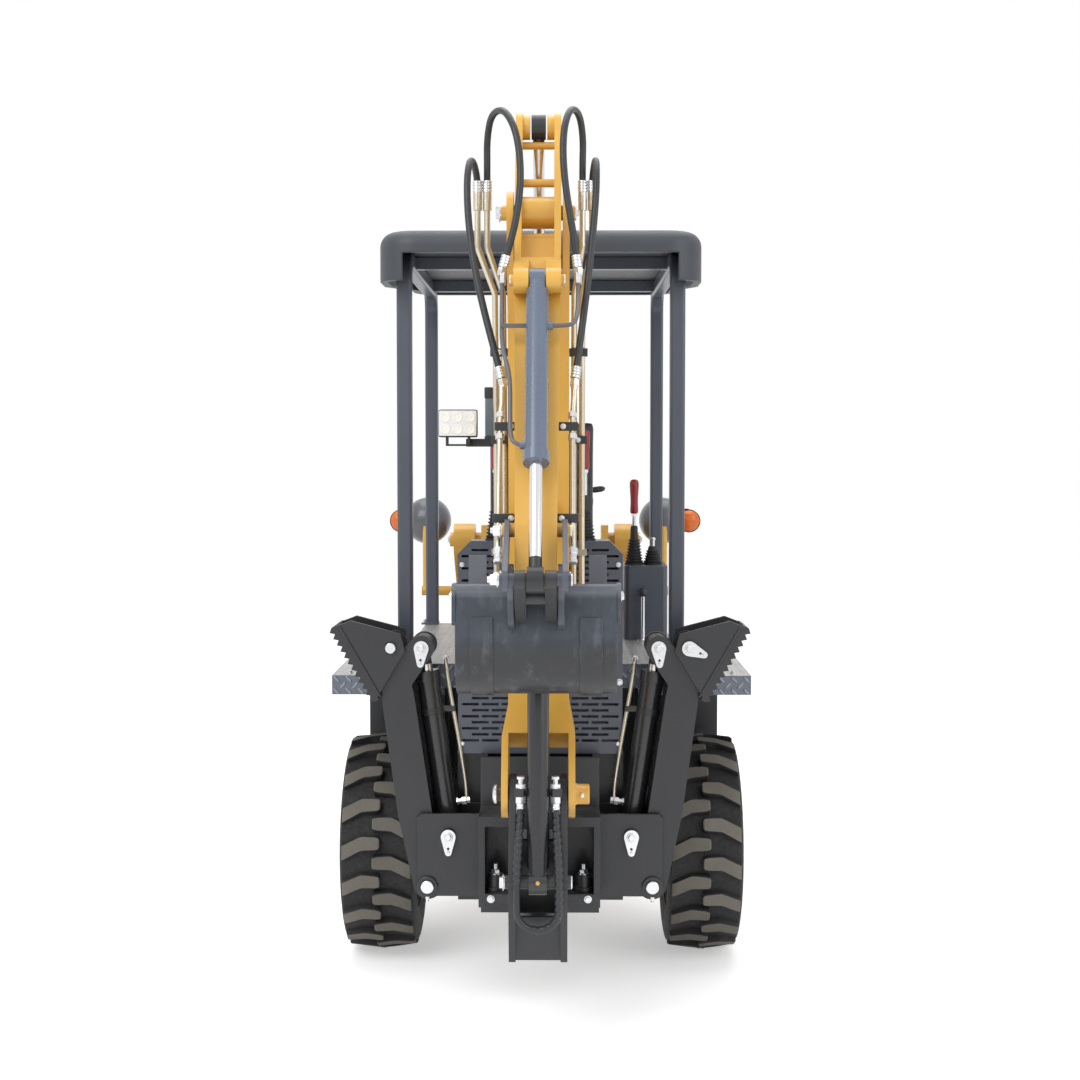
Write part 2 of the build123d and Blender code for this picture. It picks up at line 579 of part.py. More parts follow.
# Backhoe frame: cheeks for the stabilisers, a middle box, and the lugs of the swing post
LEG_HALF = LEG_DEEP / 2
CHEEK_IN = LEG_HALF + STAB_GAP
CHEEK_OUT = CHEEK_IN + CHEEK_PLATE
SWING_PIN_R = 30.0
SWING_LUG_R = 62.0
SWING_LOW_Z = 400.0
SWING_TOP_Z = 640.0
with BuildPart() as backhoe_frame:
    for side in SIDES:
        for face in SIDES:
            y_span = (ry(STAB_Y) + face * CHEEK_IN, ry(STAB_Y) + face * CHEEK_OUT)
            rear_plate([(side * FRAME_SIDE, 388), (side * 378, 388), (side * 388, 398), (side * 388, 637),
                        (side * 376, 650), (side * FRAME_SIDE, 650)], y_span)
        box((side * (FRAME_SIDE - 20), side * FRAME_SIDE), (ry(-960), ry(CHASSIS_REAR)), (388, 670))
        box((side * (FRAME_SIDE - 20), side * FRAME_SIDE), (ry(-800), ry(CHASSIS_REAR)), (388, TOWER_BOTTOM_Z))
        for point, radius in ((LEG_PIVOT, BIG_PIN_R), (LEG_RAM_BASE, LEG_RAM.pin_r)):
            with Locations(Location((side * point[0], ry(STAB_Y), point[1]), (90, 0, 0))):
                Cylinder(radius, 2 * CHEEK_OUT + 24)
    box((-FRAME_SIDE, FRAME_SIDE), (ry(-800), ry(-776)), (330, TOWER_BOTTOM_Z))
    box((-RAIL_OUT, RAIL_OUT), (ry(CHASSIS_REAR - 20), ry(CHASSIS_REAR)), (330, TOWER_BOTTOM_Z - 8))
    for low in (SWING_LOW_Z, SWING_TOP_Z):
        with BuildSketch(Plane.XY.offset(low)):
            make_hull([Edge.make_circle(SWING_LUG_R, Plane((0, ry(SWING_Y), 0))),
                       Edge.make_circle(SWING_LUG_R, Plane((0, ry(-970), 0)))])
            with Locations((0, ry(-870))):
                Rectangle(2 * FRAME_SIDE - 10, 180)
        extrude(amount=LUG_T)
    upright(0, ry(SWING_Y), SWING_PIN_R, (SWING_LOW_Z - 16, SWING_TOP_Z + LUG_T + 16))
    tow_eye(TOW_REAR, -786, TOW_REAR_Z)
save(backhoe_frame, "backhoe_frame")

# Stabilisers: a leg, a foot and a ram on each side
for side, side_name in ((-1, "left"), (1, "right")):
    stab_y = ry(STAB_Y)
    with BuildPart() as leg:
        spine = [(side * LEG_PIVOT[0], LEG_PIVOT[1], 46), (side * 397, 650, 54),
                 (side * 448, 1010, 52), (side * FOOT_PIN[0], FOOT_PIN[1], 40)]
        ear = [(side * 450, 1080, 50), (side * LEG_RAM_EYE[0], LEG_RAM_EYE[1], 40)]
        for face in SIDES:
            y_span = (stab_y + face * (LEG_HALF - LEG_PLATE), stab_y + face * LEG_HALF)
            rear_bar(spine, y_span)
            rear_bar(ear, y_span)
        rear_bar([(x, z, r - 12) for x, z, r in spine[:3]], (stab_y - LEG_HALF, stab_y + LEG_HALF))
        with Locations(Location((side * LEG_PIVOT[0], stab_y, LEG_PIVOT[1]), (90, 0, 0))):
            Cylinder(BIG_PIN_R + PIN_GAP, LEG_DEEP + 2, mode=Mode.SUBTRACT)
        with Locations(Location((side * FOOT_PIN[0], stab_y, FOOT_PIN[1]), (90, 0, 0))):
            Cylinder(HOE_PIN_R, LEG_DEEP + 2 * (STAB_GAP + FOOT_PLATE) + 16)
    save(leg, f"{side_name}_leg")
    with BuildPart() as foot:
        tip, heel = (657.0, 1240.0), (521.0, 1006.0)
        sole = Vector(tip[0] - heel[0], tip[1] - heel[1])
        out = Vector(sole.Y, -sole.X).normalized()
        teeth = 12
        edge = []
        for step in range(teeth):
            for part_way, reach in ((0.0, 0.0), (0.5, 13.0)):
                share = (step + part_way) / teeth
                edge.append((heel[0] + sole.X * share + out.X * reach, heel[1] + sole.Y * share + out.Y * reach))
        edge.append(tip)
        back = [(p[0] - out.X * 16, p[1] - out.Y * 16) for p in (tip, heel)]
        flip = [(side * x, z) for x, z in edge + back]
        foot_half = LEG_HALF + STAB_GAP + FOOT_PLATE
        rear_plate(flip, (stab_y - foot_half, stab_y + foot_half))
        web = [heel, tip, (597.0, 1263.0), (440.0, 1222.0), (425.0, 1165.0), (455.0, 1118.0)]
        for face in SIDES:
            y_span = (stab_y + face * (LEG_HALF + STAB_GAP), stab_y + face * foot_half)
            rear_plate([(side * x, z) for x, z in web], y_span)
        with Locations(Location((side * FOOT_PIN[0], stab_y, FOOT_PIN[1]), (90, 0, 0))):
            Cylinder(HOE_PIN_R + PIN_GAP, 2 * foot_half + 2, mode=Mode.SUBTRACT)
    save(foot, f"{side_name}_foot")
    ram_base = (side * LEG_RAM_BASE[0], stab_y, LEG_RAM_BASE[1])
    ram_eye = (side * LEG_RAM_EYE[0], stab_y, LEG_RAM_EYE[1])
    with BuildPart() as leg_barrel:
        ram_barrel(ram_base, ram_eye, (0, 1, 0), LEG_RAM)
    save(leg_barrel, f"{side_name}_leg_barrel")
    with BuildPart() as leg_rod:
        ram_rod(ram_base, ram_eye, (0, 1, 0), LEG_RAM)
    save(leg_rod, f"{side_name}_leg_rod")

# Swing post: a hub between the frame's lugs and two cheek plates behind it
with BuildPart() as swing_post:
    for side in SIDES:
        x_span = (side * (POST_HALF_W - POST_PLATE), side * POST_HALF_W)
        side_plate([(-1156, 740), (-1156, 430), (-1240, 330), (-1300, 318), (-1350, 540), (-1345, 600),
                    (-1262, 800), (-1240, 842), (-1156, 842)], x_span)
    box((-POST_HALF_W, POST_HALF_W), (ry(-1180), ry(-1156)), (430, 640))
    box((-POST_HALF_W, POST_HALF_W), (ry(-1300), ry(-1284)), (324, 450))
    for side in SIDES:
        box((side * 42, side * (POST_HALF_W - POST_PLATE + 4)), (ry(-1300), ry(-1236)), (LOOP_TOP_Z, LOOP_TOP_Z + 24))
    hub_span = (SWING_LOW_Z + LUG_T + LUG_GAP, SWING_TOP_Z - LUG_GAP)
    upright(0, ry(SWING_Y), 50, hub_span)
    box((-50, 50), (ry(-1180), ry(SWING_Y)), hub_span)
    upright(0, ry(SWING_Y), SWING_PIN_R + PIN_GAP, (300, 900), Mode.SUBTRACT)
    pin(BOOM_FOOT, BIG_PIN_R, (-BOOM_FOOT_HALF_W - 14, BOOM_FOOT_HALF_W + 14))
    pin(BOOM_RAM_BASE, BOOM_RAM.pin_r, (-POST_HALF_W - 10, POST_HALF_W + 10))
save(swing_post, "swing_post")

# Boom: a bent box, forked at the foot and at the nose
with BuildPart() as boom:
    wide = BOOM_FOOT_HALF_W
    side_bar([(*BOOM_FOOT, 70), (-1010, 1180, 84), (*BOOM_KNEE, 100), (-1075, 2050, 68), (*STICK_PIVOT, 60)],
             (-wide, wide))
    nose_z = STICK_PIVOT[1] + 80
    rear_plate([(-wide, 700), (wide, 700), (wide, 960), (BOOM_HALF_W, 1050), (BOOM_HALF_W, nose_z),
                (-BOOM_HALF_W, nose_z), (-BOOM_HALF_W, 1050), (-wide, 960)], (ry(-1500), ry(-700)), Mode.INTERSECT)
    foot_gap = POST_HALF_W + 3
    pin(BOOM_FOOT, 180, (-foot_gap, foot_gap), Mode.SUBTRACT)
    pin(STICK_PIVOT, 215, (-STICK_TOP_HALF_W - 4, STICK_TOP_HALF_W + 4), Mode.SUBTRACT)
    pin(BOOM_FOOT, BIG_PIN_R + PIN_GAP, (-wide - 1, wide + 1), Mode.SUBTRACT)
    pin(STICK_PIVOT, BIG_PIN_R, (-BOOM_HALF_W - 16, BOOM_HALF_W + 16))
    for side in SIDES:
        inner = BOOM_RAM.eye_w / 2 + 4
        side_bar([(BOOM_KNEE[0] - 50, BOOM_KNEE[1], 70), (*BOOM_RAM_EYE, 38)], (side * inner, side * (inner + 18)))
        inner = STICK_RAM.eye_w / 2 + 4
        side_bar([(BOOM_KNEE[0] + 40, BOOM_KNEE[1] - 90, 60), (*STICK_RAM_BASE, 36)],
                 (side * inner, side * (inner + 18)))
    reach = STICK_RAM.eye_w / 2 + 24
    pin(STICK_RAM_BASE, STICK_RAM.pin_r, (-reach, reach))
save(boom, "boom")

# Stick: two plates at the top, a tapering box below
with BuildPart() as stick:
    wide = STICK_TOP_HALF_W
    side_bar([(*STICK_RAM_EYE, 42), (*STICK_PIVOT, 62), (*STICK_BEND, 70), (*ROCKER_PIN, 46), (*HOE_PIN, 34)],
             (-wide, wide))
    tip = STICK_TIP_HALF_W
    rear_plate([(-tip, HOE_PIN[1] - 60), (tip, HOE_PIN[1] - 60), (wide, 2380), (wide, 2900), (-wide, 2900),
                (-wide, 2380)], (ry(-1900), ry(-900)), Mode.INTERSECT)
    gap = STICK_GAP / 2
    side_plate([(-1500, 2340), (-1000, 2340), (-900, 2900), (-1500, 2900)], (-gap, gap), Mode.SUBTRACT)
    pin(STICK_PIVOT, 46, (-wide, wide))
    for rung_y, rung_z in ((-1195, 2570), (-1268, 2405)):
        pin((rung_y, rung_z), 12, (-gap - 2, gap + 2))
    for side in SIDES:
        inner = HOE_RAM.eye_w / 2 + 3
        side_bar([(STICK_BEND[0], STICK_BEND[1] + 42, 50), (*HOE_RAM_BASE, 36)], (side * inner, side * wide))
        boss = STICK_RAM.eye_w / 2 + 4
        pin(STICK_RAM_EYE, 36, (side * boss, side * wide))
    pin(HOE_RAM_BASE, HOE_RAM.pin_r, (-wide - 8, wide + 8))
    pin(STICK_PIVOT, BIG_PIN_R + PIN_GAP, (-wide - 1, wide + 1), Mode.SUBTRACT)
    pin(ROCKER_PIN, HOE_PIN_R, (-wide - 24, wide + 24))
    pin(HOE_PIN, HOE_PIN_R + PIN_GAP, (-wide, wide), Mode.SUBTRACT)
save(stick, "stick")

# Rocker plates and the bucket link
ROCKER_IN = STICK_TOP_HALF_W + 3
with BuildPart() as rocker_link:
    for side in SIDES:
        side_bar([(*ROCKER_PIN, 30), (*LINK_PIN, 32)], (side * ROCKER_IN, side * (ROCKER_IN + 14)))
        pin(LINK_PIN, HOE_PIN_R, (side * (HOE_RAM.eye_w / 2 + PIN_GAP), side * (ROCKER_IN + 22)))
    pin(ROCKER_PIN, HOE_PIN_R + PIN_GAP, (-ROCKER_IN - 15, ROCKER_IN + 15), Mode.SUBTRACT)
save(rocker_link, "rocker_link")
EAR_IN = STICK_TIP_HALF_W + 5
with BuildPart() as bucket_link:
    for side in SIDES:
        side_bar([(*LINK_PIN, 24), (*EAR_PIN, 24)], (side * (HOE_RAM.eye_w / 2 + 4), side * (EAR_IN - 4)))
    low, high = LINK_PIN, EAR_PIN
    middle = ((low[0] + high[0]) / 2, (low[1] + high[1]) / 2)
    pin(middle, 20, (-EAR_IN + 6, EAR_IN - 6))
    pin(LINK_PIN, HOE_PIN_R + PIN_GAP, (-EAR_IN, EAR_IN), Mode.SUBTRACT)
    pin(EAR_PIN, HOE_PIN_R, (-EAR_IN, EAR_IN), Mode.SUBTRACT)
save(bucket_link, "bucket_link")

# Hoe bucket, curled under the stick
with BuildPart() as hoe_bucket:
    hy, hz = HOE_PIN
    rear_top = (hy + 92, hz - 40)
    heel = (hy + 74, hz - 170)
    low = (hy + 190, hz - 330)
    lip = (hy + 392, hz - 70)
    def shell_outline(inset):
        """The shell's closed outline, moved inwards by this much."""
        a, b = at(rear_top), at(heel)
        c, d = at(low), at(lip)
        with BuildLine() as edge:
            Line((a[0] + inset, a[1]), (b[0] + inset, b[1]))
            ThreePointArc((b[0] + inset, b[1]), (b[0] + 28 + inset * 0.8, b[1] - 108 + inset * 0.6),
                          (c[0], c[1] + inset))
            Line((c[0], c[1] + inset), (d[0] - inset * 0.4, d[1] + inset * 0.9))
            Line((d[0] - inset * 0.4, d[1] + inset * 0.9), (a[0] + inset, a[1]))
        make_face(edge.edges())
    with BuildSketch(Plane.YZ.offset(-HOE_HALF_W)):
        shell_outline(0)
    extrude(amount=2 * HOE_HALF_W)
    with BuildSketch(Plane.YZ.offset(-HOE_HALF_W + HOE_WALL)):
        shell_outline(HOE_WALL)
    extrude(amount=2 * (HOE_HALF_W - HOE_WALL), mode=Mode.SUBTRACT)
    side_plate([(rear_top[0] + HOE_WALL, rear_top[1] - 1), (lip[0] - 24, lip[1] + 4), (lip[0] - 24, lip[1] + 90),
                (rear_top[0] + HOE_WALL, rear_top[1] + 90)], (-HOE_HALF_W + HOE_WALL, HOE_HALF_W - HOE_WALL),
               Mode.SUBTRACT)
    pin((rear_top[0] + 10, rear_top[1]), 16, (-HOE_HALF_W, HOE_HALF_W))
    for side in SIDES:
        side_bar([(*HOE_PIN, 36), (*EAR_PIN, 34), (heel[0] + 6, heel[1] + 30, 8)], (side * EAR_IN, side * (EAR_IN + 16)))
        side_bar([(*HOE_PIN, 36), (rear_top[0] + 6, rear_top[1] + 4, 8)], (side * EAR_IN, side * (EAR_IN + 16)))
    pin(HOE_PIN, HOE_PIN_R, (-EAR_IN - 30, EAR_IN + 30))
    for tooth_x in (-170, 0, 170):
        side_plate([(lip[0] - 60, lip[1] - 66), (lip[0] - 40, lip[1] - 70), (lip[0] + 14, lip[1] + 104),
                    (lip[0] + 2, lip[1] + 104), (lip[0] - 26, lip[1] - 16)], (tooth_x - 25, tooth_x + 25))
save(hoe_bucket, "hoe_bucket")

# Backhoe rams
BACKHOE_RAMS = [
    ("boom", BOOM_RAM_BASE, BOOM_RAM_EYE, BOOM_RAM),
    ("stick", STICK_RAM_BASE, STICK_RAM_EYE, STICK_RAM),
    ("hoe", HOE_RAM_BASE, LINK_PIN, HOE_RAM),
]
for name, base, eye, ram in BACKHOE_RAMS:
    with BuildPart() as barrel:
        ram_barrel(side_point(0, base), side_point(0, eye), (1, 0, 0), ram)
    save(barrel, f"{name}_barrel")
    with BuildPart() as rod:
        ram_rod(side_point(0, base), side_point(0, eye), (1, 0, 0), ram)
    save(rod, f"{name}_rod")

# Front chassis: tower plates, cross plates and the outer lugs of the steering joint
with BuildPart() as front_chassis:
    tower = [(1010, 345), (1470, 345), (1520, RAIL_BOTTOM_Z), (1930, RAIL_BOTTOM_Z), (1930, 540), (1470, 720),
             (ARM_PIVOT[0] + 78, ARM_PIVOT[1] + 20), (ARM_PIVOT[0] + 40, ARM_PIVOT[1] + 62),
             (ARM_PIVOT[0] - 50, ARM_PIVOT[1] + 62), (1010, 1240)]
    for side in SIDES:
        side_plate(tower, (side * TOWER_PLATE_IN, side * TOWER_PLATE_OUT))
        pin(ARM_PIVOT, 30, (side * TOWER_PLATE_IN, side * (ARM_OUT + 16)))
        pin(LIFT_BASE, LIFT_RAM.pin_r, (side * TOWER_PLATE_IN, side * (ARM_OUT - 16)))
    box((-TOWER_PLATE_OUT, TOWER_PLATE_OUT), (ry(1010), ry(1034)), (345, 1160))
    box((-TOWER_PLATE_IN, TOWER_PLATE_IN), (ry(1034), ry(1930)), (RAIL_BOTTOM_Z, RAIL_BOTTOM_Z + 24))
    box((-TOWER_PLATE_IN, TOWER_PLATE_IN), (ry(1906), ry(1930)), (RAIL_BOTTOM_Z, 540))
    axle_y = AXLE_Y["front"]
    box((-150, 150), (axle_y - 150, axle_y + 150), (RAIL_BOTTOM_Z - 1, RAIL_BOTTOM_Z + 25), Mode.SUBTRACT)
    for low in (LOW_LUG_Z - LUG_T - LUG_GAP, TOP_LUG_Z + LUG_T + LUG_GAP):
        with BuildSketch(Plane.XY.offset(low)):
            make_hull([Edge.make_circle(JOINT_LUG_R, Plane((0, ry(JOINT_Y), 0))),
                       Edge.make_circle(20, Plane((-140, ry(1015), 0))),
                       Edge.make_circle(20, Plane((140, ry(1015), 0)))])
        extrude(amount=LUG_T)
    upright(0, ry(JOINT_Y), JOINT_PIN_R + PIN_GAP, (300, 700), Mode.SUBTRACT)
    tow_eye(TOW_FRONT, 1920, TOW_FRONT_Z)
save(front_chassis, "front_chassis")

# Lamp brackets out from the tower plates, far enough ahead to pass the canopy posts in a turn
LAMP_X = 505.0
LAMP_Z = 1496.0
LAMP_R = 100.0
LAMP_AHEAD = 1150.0
LAMP_BAR_Z = 1200.0
LAMP_BAR_R = 20.0
LAMP_STEM_R = 16.0
with BuildPart() as lamp_brackets:
    for side in SIDES:
        pin((LAMP_AHEAD, LAMP_BAR_Z), LAMP_BAR_R, (side * TOWER_PLATE_OUT, side * (LAMP_X + LAMP_BAR_R)))
        upright(side * LAMP_X, ry(LAMP_AHEAD), LAMP_STEM_R, (LAMP_BAR_Z, LAMP_Z - 20))
save(lamp_brackets, "lamp_brackets")

# Headlamps and turn lamps on the brackets
with BuildPart() as headlamps:
    for side in SIDES:
        with Locations(Location((side * LAMP_X, ry(LAMP_AHEAD), LAMP_Z), (-90, 0, 0))):
            Cylinder(LAMP_R, 110, align=(Align.CENTER, Align.CENTER, Align.MIN))
    fillet(headlamps.edges().group_by(Axis.Y)[0], 40)
    for side in SIDES:
        upright(side * LAMP_X, ry(LAMP_AHEAD), LAMP_STEM_R + PIN_GAP, (LAMP_Z - LAMP_R, LAMP_Z), Mode.SUBTRACT)
save(headlamps, "headlamps")
with BuildPart() as turn_lamps:
    for side in SIDES:
        box((side * LAMP_X, side * (LAMP_X + LAMP_R + 66)), (ry(LAMP_AHEAD + 42), ry(LAMP_AHEAD + 90)),
            (LAMP_Z - 34, LAMP_Z + 34))
        with Locations(Location((side * LAMP_X, ry(LAMP_AHEAD + 60), LAMP_Z), (90, 0, 0))):
            Cylinder(LAMP_R + PIN_GAP, 200, mode=Mode.SUBTRACT)
save(turn_lamps, "turn_lamps")

# Lift arms with two cross tubes, the lugs of the rams, and room around the lift rods' eyes
ARM_TUBE = (1881.0, 855.0)
EYE_ROOM_R = LIFT_RAM.eye_r + 18
with BuildPart() as lift_arms:
    arm = [(*ARM_PIVOT, 68), (*ARM_KNEE, 90), (*ARM_ELBOW, 74), (*BUCKET_PIN, 52)]
    for side in SIDES:
        side_bar(arm, (side * ARM_IN, side * ARM_OUT))
        pin(ARM_PIVOT, 30 + PIN_GAP, (side * (ARM_IN - 1), side * (ARM_OUT + 1)), Mode.SUBTRACT)
        pin(BUCKET_PIN, 26 + PIN_GAP, (side * (ARM_IN - 1), side * (ARM_OUT + 1)), Mode.SUBTRACT)
        middle = (ARM_IN + ARM_OUT) / 2
        for face in SIDES:
            gap = LIFT_RAM.eye_w / 2 + 4
            x_span = (side * middle + face * gap, side * middle + face * (gap + 18))
            side_bar([(LIFT_EYE[0] + 40, LIFT_EYE[1] + 90, 60), (*LIFT_EYE, 40)], x_span)
            gap = TILT_RAM.eye_w / 2 + 4
            x_span = (side * TILT_X + face * gap, side * TILT_X + face * (gap + 14))
            side_bar([(TILT_BASE[0] + 12, 1130, 50), (*TILT_BASE, 36)], x_span)
        reach = TILT_RAM.eye_w / 2 + 20
        pin(TILT_BASE, TILT_RAM.pin_r, (side * TILT_X - reach, side * TILT_X + reach))
        pocket = LIFT_RAM.eye_w / 2 + 4
        far = (LIFT_EYE[0] + LIFT_DRIFT[0], LIFT_EYE[1] + LIFT_DRIFT[1], EYE_ROOM_R)
        side_bar([(*LIFT_EYE, EYE_ROOM_R), far], (side * middle - pocket, side * middle + pocket), Mode.SUBTRACT)
    pin((TILT_BASE[0] + 12, 1130), 46, (-ARM_IN - 2, ARM_IN + 2))
    pin(ARM_TUBE, 32, (-ARM_IN - 2, ARM_IN + 2))
save(lift_arms, "lift_arms")

# Loader bucket: an open shell with ears for the arms and the tilt rams
with BuildPart() as loader_bucket:
    back, lip, low, high = BUCKET_BACK, BUCKET_LIP, BUCKET_LOW_Z, BUCKET_HIGH_Z
    shell = [(back + 60, high), (back, high - 150), (back, low + 150), (back + 60, low + 30), (back + 130, low),
             (lip, low)]
    wall = BUCKET_WALL
    inside = [(lip + 1, low + wall), (back + 134, low + wall), (back + 70, low + 40), (back + wall, low + 155),
              (back + wall, high - 153), (back + 60 + wall, high + 1), (lip + 1, high + 1)]
    side_plate(shell + [(lip, low + wall), (back + 300, high - 130), (back + 110, high)],
               (-BUCKET_HALF_W, BUCKET_HALF_W))
    side_plate(inside, (-BUCKET_HALF_W + wall, BUCKET_HALF_W - wall), Mode.SUBTRACT)
    for side in SIDES:
        for x_in, x_out in ((ARM_IN - 24, ARM_IN - 5), (ARM_OUT + 5, ARM_OUT + 24)):
            side_bar([(*BUCKET_PIN, 50), (back + 4, BUCKET_PIN[1] + 20, 60)], (side * x_in, side * x_out))
        pin(BUCKET_PIN, 26, (side * (ARM_IN - 24), side * (ARM_OUT + 34)))
        for face in SIDES:
            gap = TILT_RAM.eye_w / 2 + 4
            x_span = (side * TILT_X + face * gap, side * TILT_X + face * (gap + 14))
            side_bar([(*TILT_EYE, 34), (back + 2, TILT_EYE[1] - 10, 50)], x_span)
    side_plate(inside, (-BUCKET_HALF_W + wall, BUCKET_HALF_W - wall), Mode.SUBTRACT)
save(loader_bucket, "loader_bucket")

# Loader rams, a left and a right one in each piece
LOADER_RAMS = [
    ("lift", (ARM_IN + ARM_OUT) / 2, LIFT_BASE, LIFT_EYE, LIFT_RAM),
    ("tilt", TILT_X, TILT_BASE, TILT_EYE, TILT_RAM),
]
for name, ram_x, base, eye, ram in LOADER_RAMS:
    with BuildPart() as barrels:
        for side in SIDES:
            ram_barrel(side_point(side * ram_x, base), side_point(side * ram_x, eye), (1, 0, 0), ram)
    save(barrels, f"{name}_barrels")
    with BuildPart() as rods:
        for side in SIDES:
            ram_rod(side_point(side * ram_x, base), side_point(side * ram_x, eye), (1, 0, 0), ram)
    save(rods, f"{name}_rods")

# Work lamp on a short arm at the boom's left side
with BuildPart() as work_lamp:
    lamp_z = 1835.0
    box((-BOOM_HALF_W - 130, -BOOM_HALF_W), (ry(-990), ry(-970)), (lamp_z - 24, lamp_z))
    box((-BOOM_HALF_W - 204, -BOOM_HALF_W - 60), (ry(-1030), ry(-980)), (lamp_z - 4, lamp_z + 90))
save(work_lamp, "work_lamp")

# Steel pipes along the boom, one for each hose, ending upright in a collar
PIPE_R = 9.0
COLLAR_R = 13.0
COLLAR_LEN = 52.0
PIPE_TOP_Z = 2498.0
PIPE_TOP_AHEAD = -1150.0
PIPE_PITCH = 24.0
HOSE_X = {-1: (-150.0, -178.0), 1: (128.0, 156.0)}
with BuildPart() as boom_pipes:
    for side in SIDES:
        for step, top_x in enumerate(HOSE_X[side]):
            x = side * (BOOM_HALF_W + PIPE_R + 6 + PIPE_PITCH * step)
            path = [(x, ry(-1020), 1120), (x, ry(-985), 1600), (x, ry(-1050), 2040), (x, ry(-1110), 2260),
                    (top_x, ry(PIPE_TOP_AHEAD), 2390), (top_x, ry(PIPE_TOP_AHEAD), PIPE_TOP_Z)]
            with BuildLine():
                route = FilletPolyline(*path, radius=45)
            with BuildSketch(Plane(origin=route @ 0, z_dir=route % 0)):
                Circle(PIPE_R)
            sweep(path=route)
            upright(top_x, ry(PIPE_TOP_AHEAD), COLLAR_R, (PIPE_TOP_Z, PIPE_TOP_Z + COLLAR_LEN))
        clip_out = BOOM_HALF_W + 2 * PIPE_R + PIPE_PITCH + 12
        box((side * BOOM_HALF_W, side * clip_out), (ry(-1010), ry(-980)), (1480, 1500))
save(boom_pipes, "boom_pipes")

# Hoses from the boom's pipes to the stick, each point as (x, ahead of the rear axle, height)
HOSE_R = 10.0
HOSE_BEND = 0.45
HOSE_FOOT = PIPE_TOP_Z + COLLAR_LEN
HOSE_ROUTES = [
    [(HOSE_X[-1][0], PIPE_TOP_AHEAD, HOSE_FOOT), (-150, -1150, 2628), (-150, -1155, 2708), (-135, -1210, 2766),
     (-98, -1290, 2766), (-66, -1348, 2708), (-50, -1368, 2630), (-47, -1382, 2545), (-56, -1391, 2460),
     (-74, -1396, 2380), (-96, -1396, 2308)],
    [(HOSE_X[-1][1], PIPE_TOP_AHEAD, HOSE_FOOT), (-178, -1150, 2586), (-186, -1190, 2628), (-194, -1250, 2630),
     (-200, -1294, 2586), (-200, -1320, 2520), (-195, -1342, 2442), (-184, -1364, 2352), (-166, -1388, 2258),
     (-143, -1414, 2164), (-119, -1440, 2076), (-98, -1462, 1996)],
    [(HOSE_X[1][0], PIPE_TOP_AHEAD, HOSE_FOOT), (128, -1150, 2628), (130, -1155, 2708), (118, -1210, 2768),
     (92, -1290, 2768), (74, -1348, 2708), (70, -1368, 2630), (76, -1382, 2545), (89, -1391, 2460),
     (103, -1396, 2380), (112, -1396, 2308)],
    [(HOSE_X[1][1], PIPE_TOP_AHEAD, HOSE_FOOT), (156, -1150, 2586), (162, -1190, 2628), (165, -1250, 2630),
     (166, -1294, 2586), (164, -1320, 2520), (158, -1342, 2442), (149, -1364, 2352), (139, -1388, 2258),
     (127, -1414, 2164), (115, -1440, 2076), (104, -1462, 1996)],
]
with BuildPart() as stick_hoses:
    for points in HOSE_ROUTES:
        route = [Vector(x, ry(ahead), z) for x, ahead, z in points]
        runs = [b - a for a, b in zip(route, route[1:])]
        radii = [HOSE_BEND * min(a.length, b.length) / tan(radians(a.get_angle(b) / 2)) for a, b in zip(runs, runs[1:])]
        with BuildLine():
            line = FilletPolyline(*route, radius=radii)
        with BuildSketch(Plane(origin=line @ 0, z_dir=line % 0)):
            Circle(HOSE_R)
        sweep(path=line)
        print("hose", round(line.length), "mm, smallest bend", round(min(radii)), "mm")
save(stick_hoses, "stick_hoses")

# Hose loop under the boom ram's foot, between two fittings on the swing post's plates
LOOP_R = 12.0
LOOP_HALF = [(50, -1284, LOOP_TOP_Z), (50, -1284, 748), (55, -1340, 672), (60, -1368, 590), (60, -1374, 465),
             (25, -1368, 430)]
with BuildPart() as boom_hoses:
    points = LOOP_HALF + [(-x, ahead, z) for x, ahead, z in LOOP_HALF[::-1]]
    route = [Vector(x, ry(ahead), z) for x, ahead, z in points]
    runs = [b - a for a, b in zip(route, route[1:])]
    radii = [HOSE_BEND * min(a.length, b.length) / tan(radians(a.get_angle(b) / 2)) for a, b in zip(runs, runs[1:])]
    with BuildLine():
        line = FilletPolyline(*route, radius=radii)
    with BuildSketch(Plane(origin=line @ 0, z_dir=line % 0)):
        Circle(LOOP_R)
    sweep(path=line)
    print("loop", round(line.length), "mm, smallest bend", round(min(radii)), "mm")
save(boom_hoses, "boom_hoses")
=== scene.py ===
"""Looks of the compact backhoe loader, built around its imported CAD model."""
import math

import bmesh
import bpy
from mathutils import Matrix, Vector


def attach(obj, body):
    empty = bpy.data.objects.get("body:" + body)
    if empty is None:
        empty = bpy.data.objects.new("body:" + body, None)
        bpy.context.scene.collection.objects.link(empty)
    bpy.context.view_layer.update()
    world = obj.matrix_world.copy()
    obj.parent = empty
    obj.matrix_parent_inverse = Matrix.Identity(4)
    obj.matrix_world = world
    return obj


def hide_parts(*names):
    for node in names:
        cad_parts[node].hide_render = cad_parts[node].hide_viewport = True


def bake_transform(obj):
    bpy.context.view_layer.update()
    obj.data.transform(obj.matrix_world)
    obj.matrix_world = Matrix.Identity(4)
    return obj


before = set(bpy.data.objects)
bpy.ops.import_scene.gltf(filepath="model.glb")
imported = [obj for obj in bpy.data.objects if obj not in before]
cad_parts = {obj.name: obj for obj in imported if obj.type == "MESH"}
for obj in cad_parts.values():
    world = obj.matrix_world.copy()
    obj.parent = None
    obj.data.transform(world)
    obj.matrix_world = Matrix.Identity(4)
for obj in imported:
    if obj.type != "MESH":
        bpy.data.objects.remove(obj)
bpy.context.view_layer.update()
scene = bpy.context.scene
scene.view_settings.view_transform = "Standard"

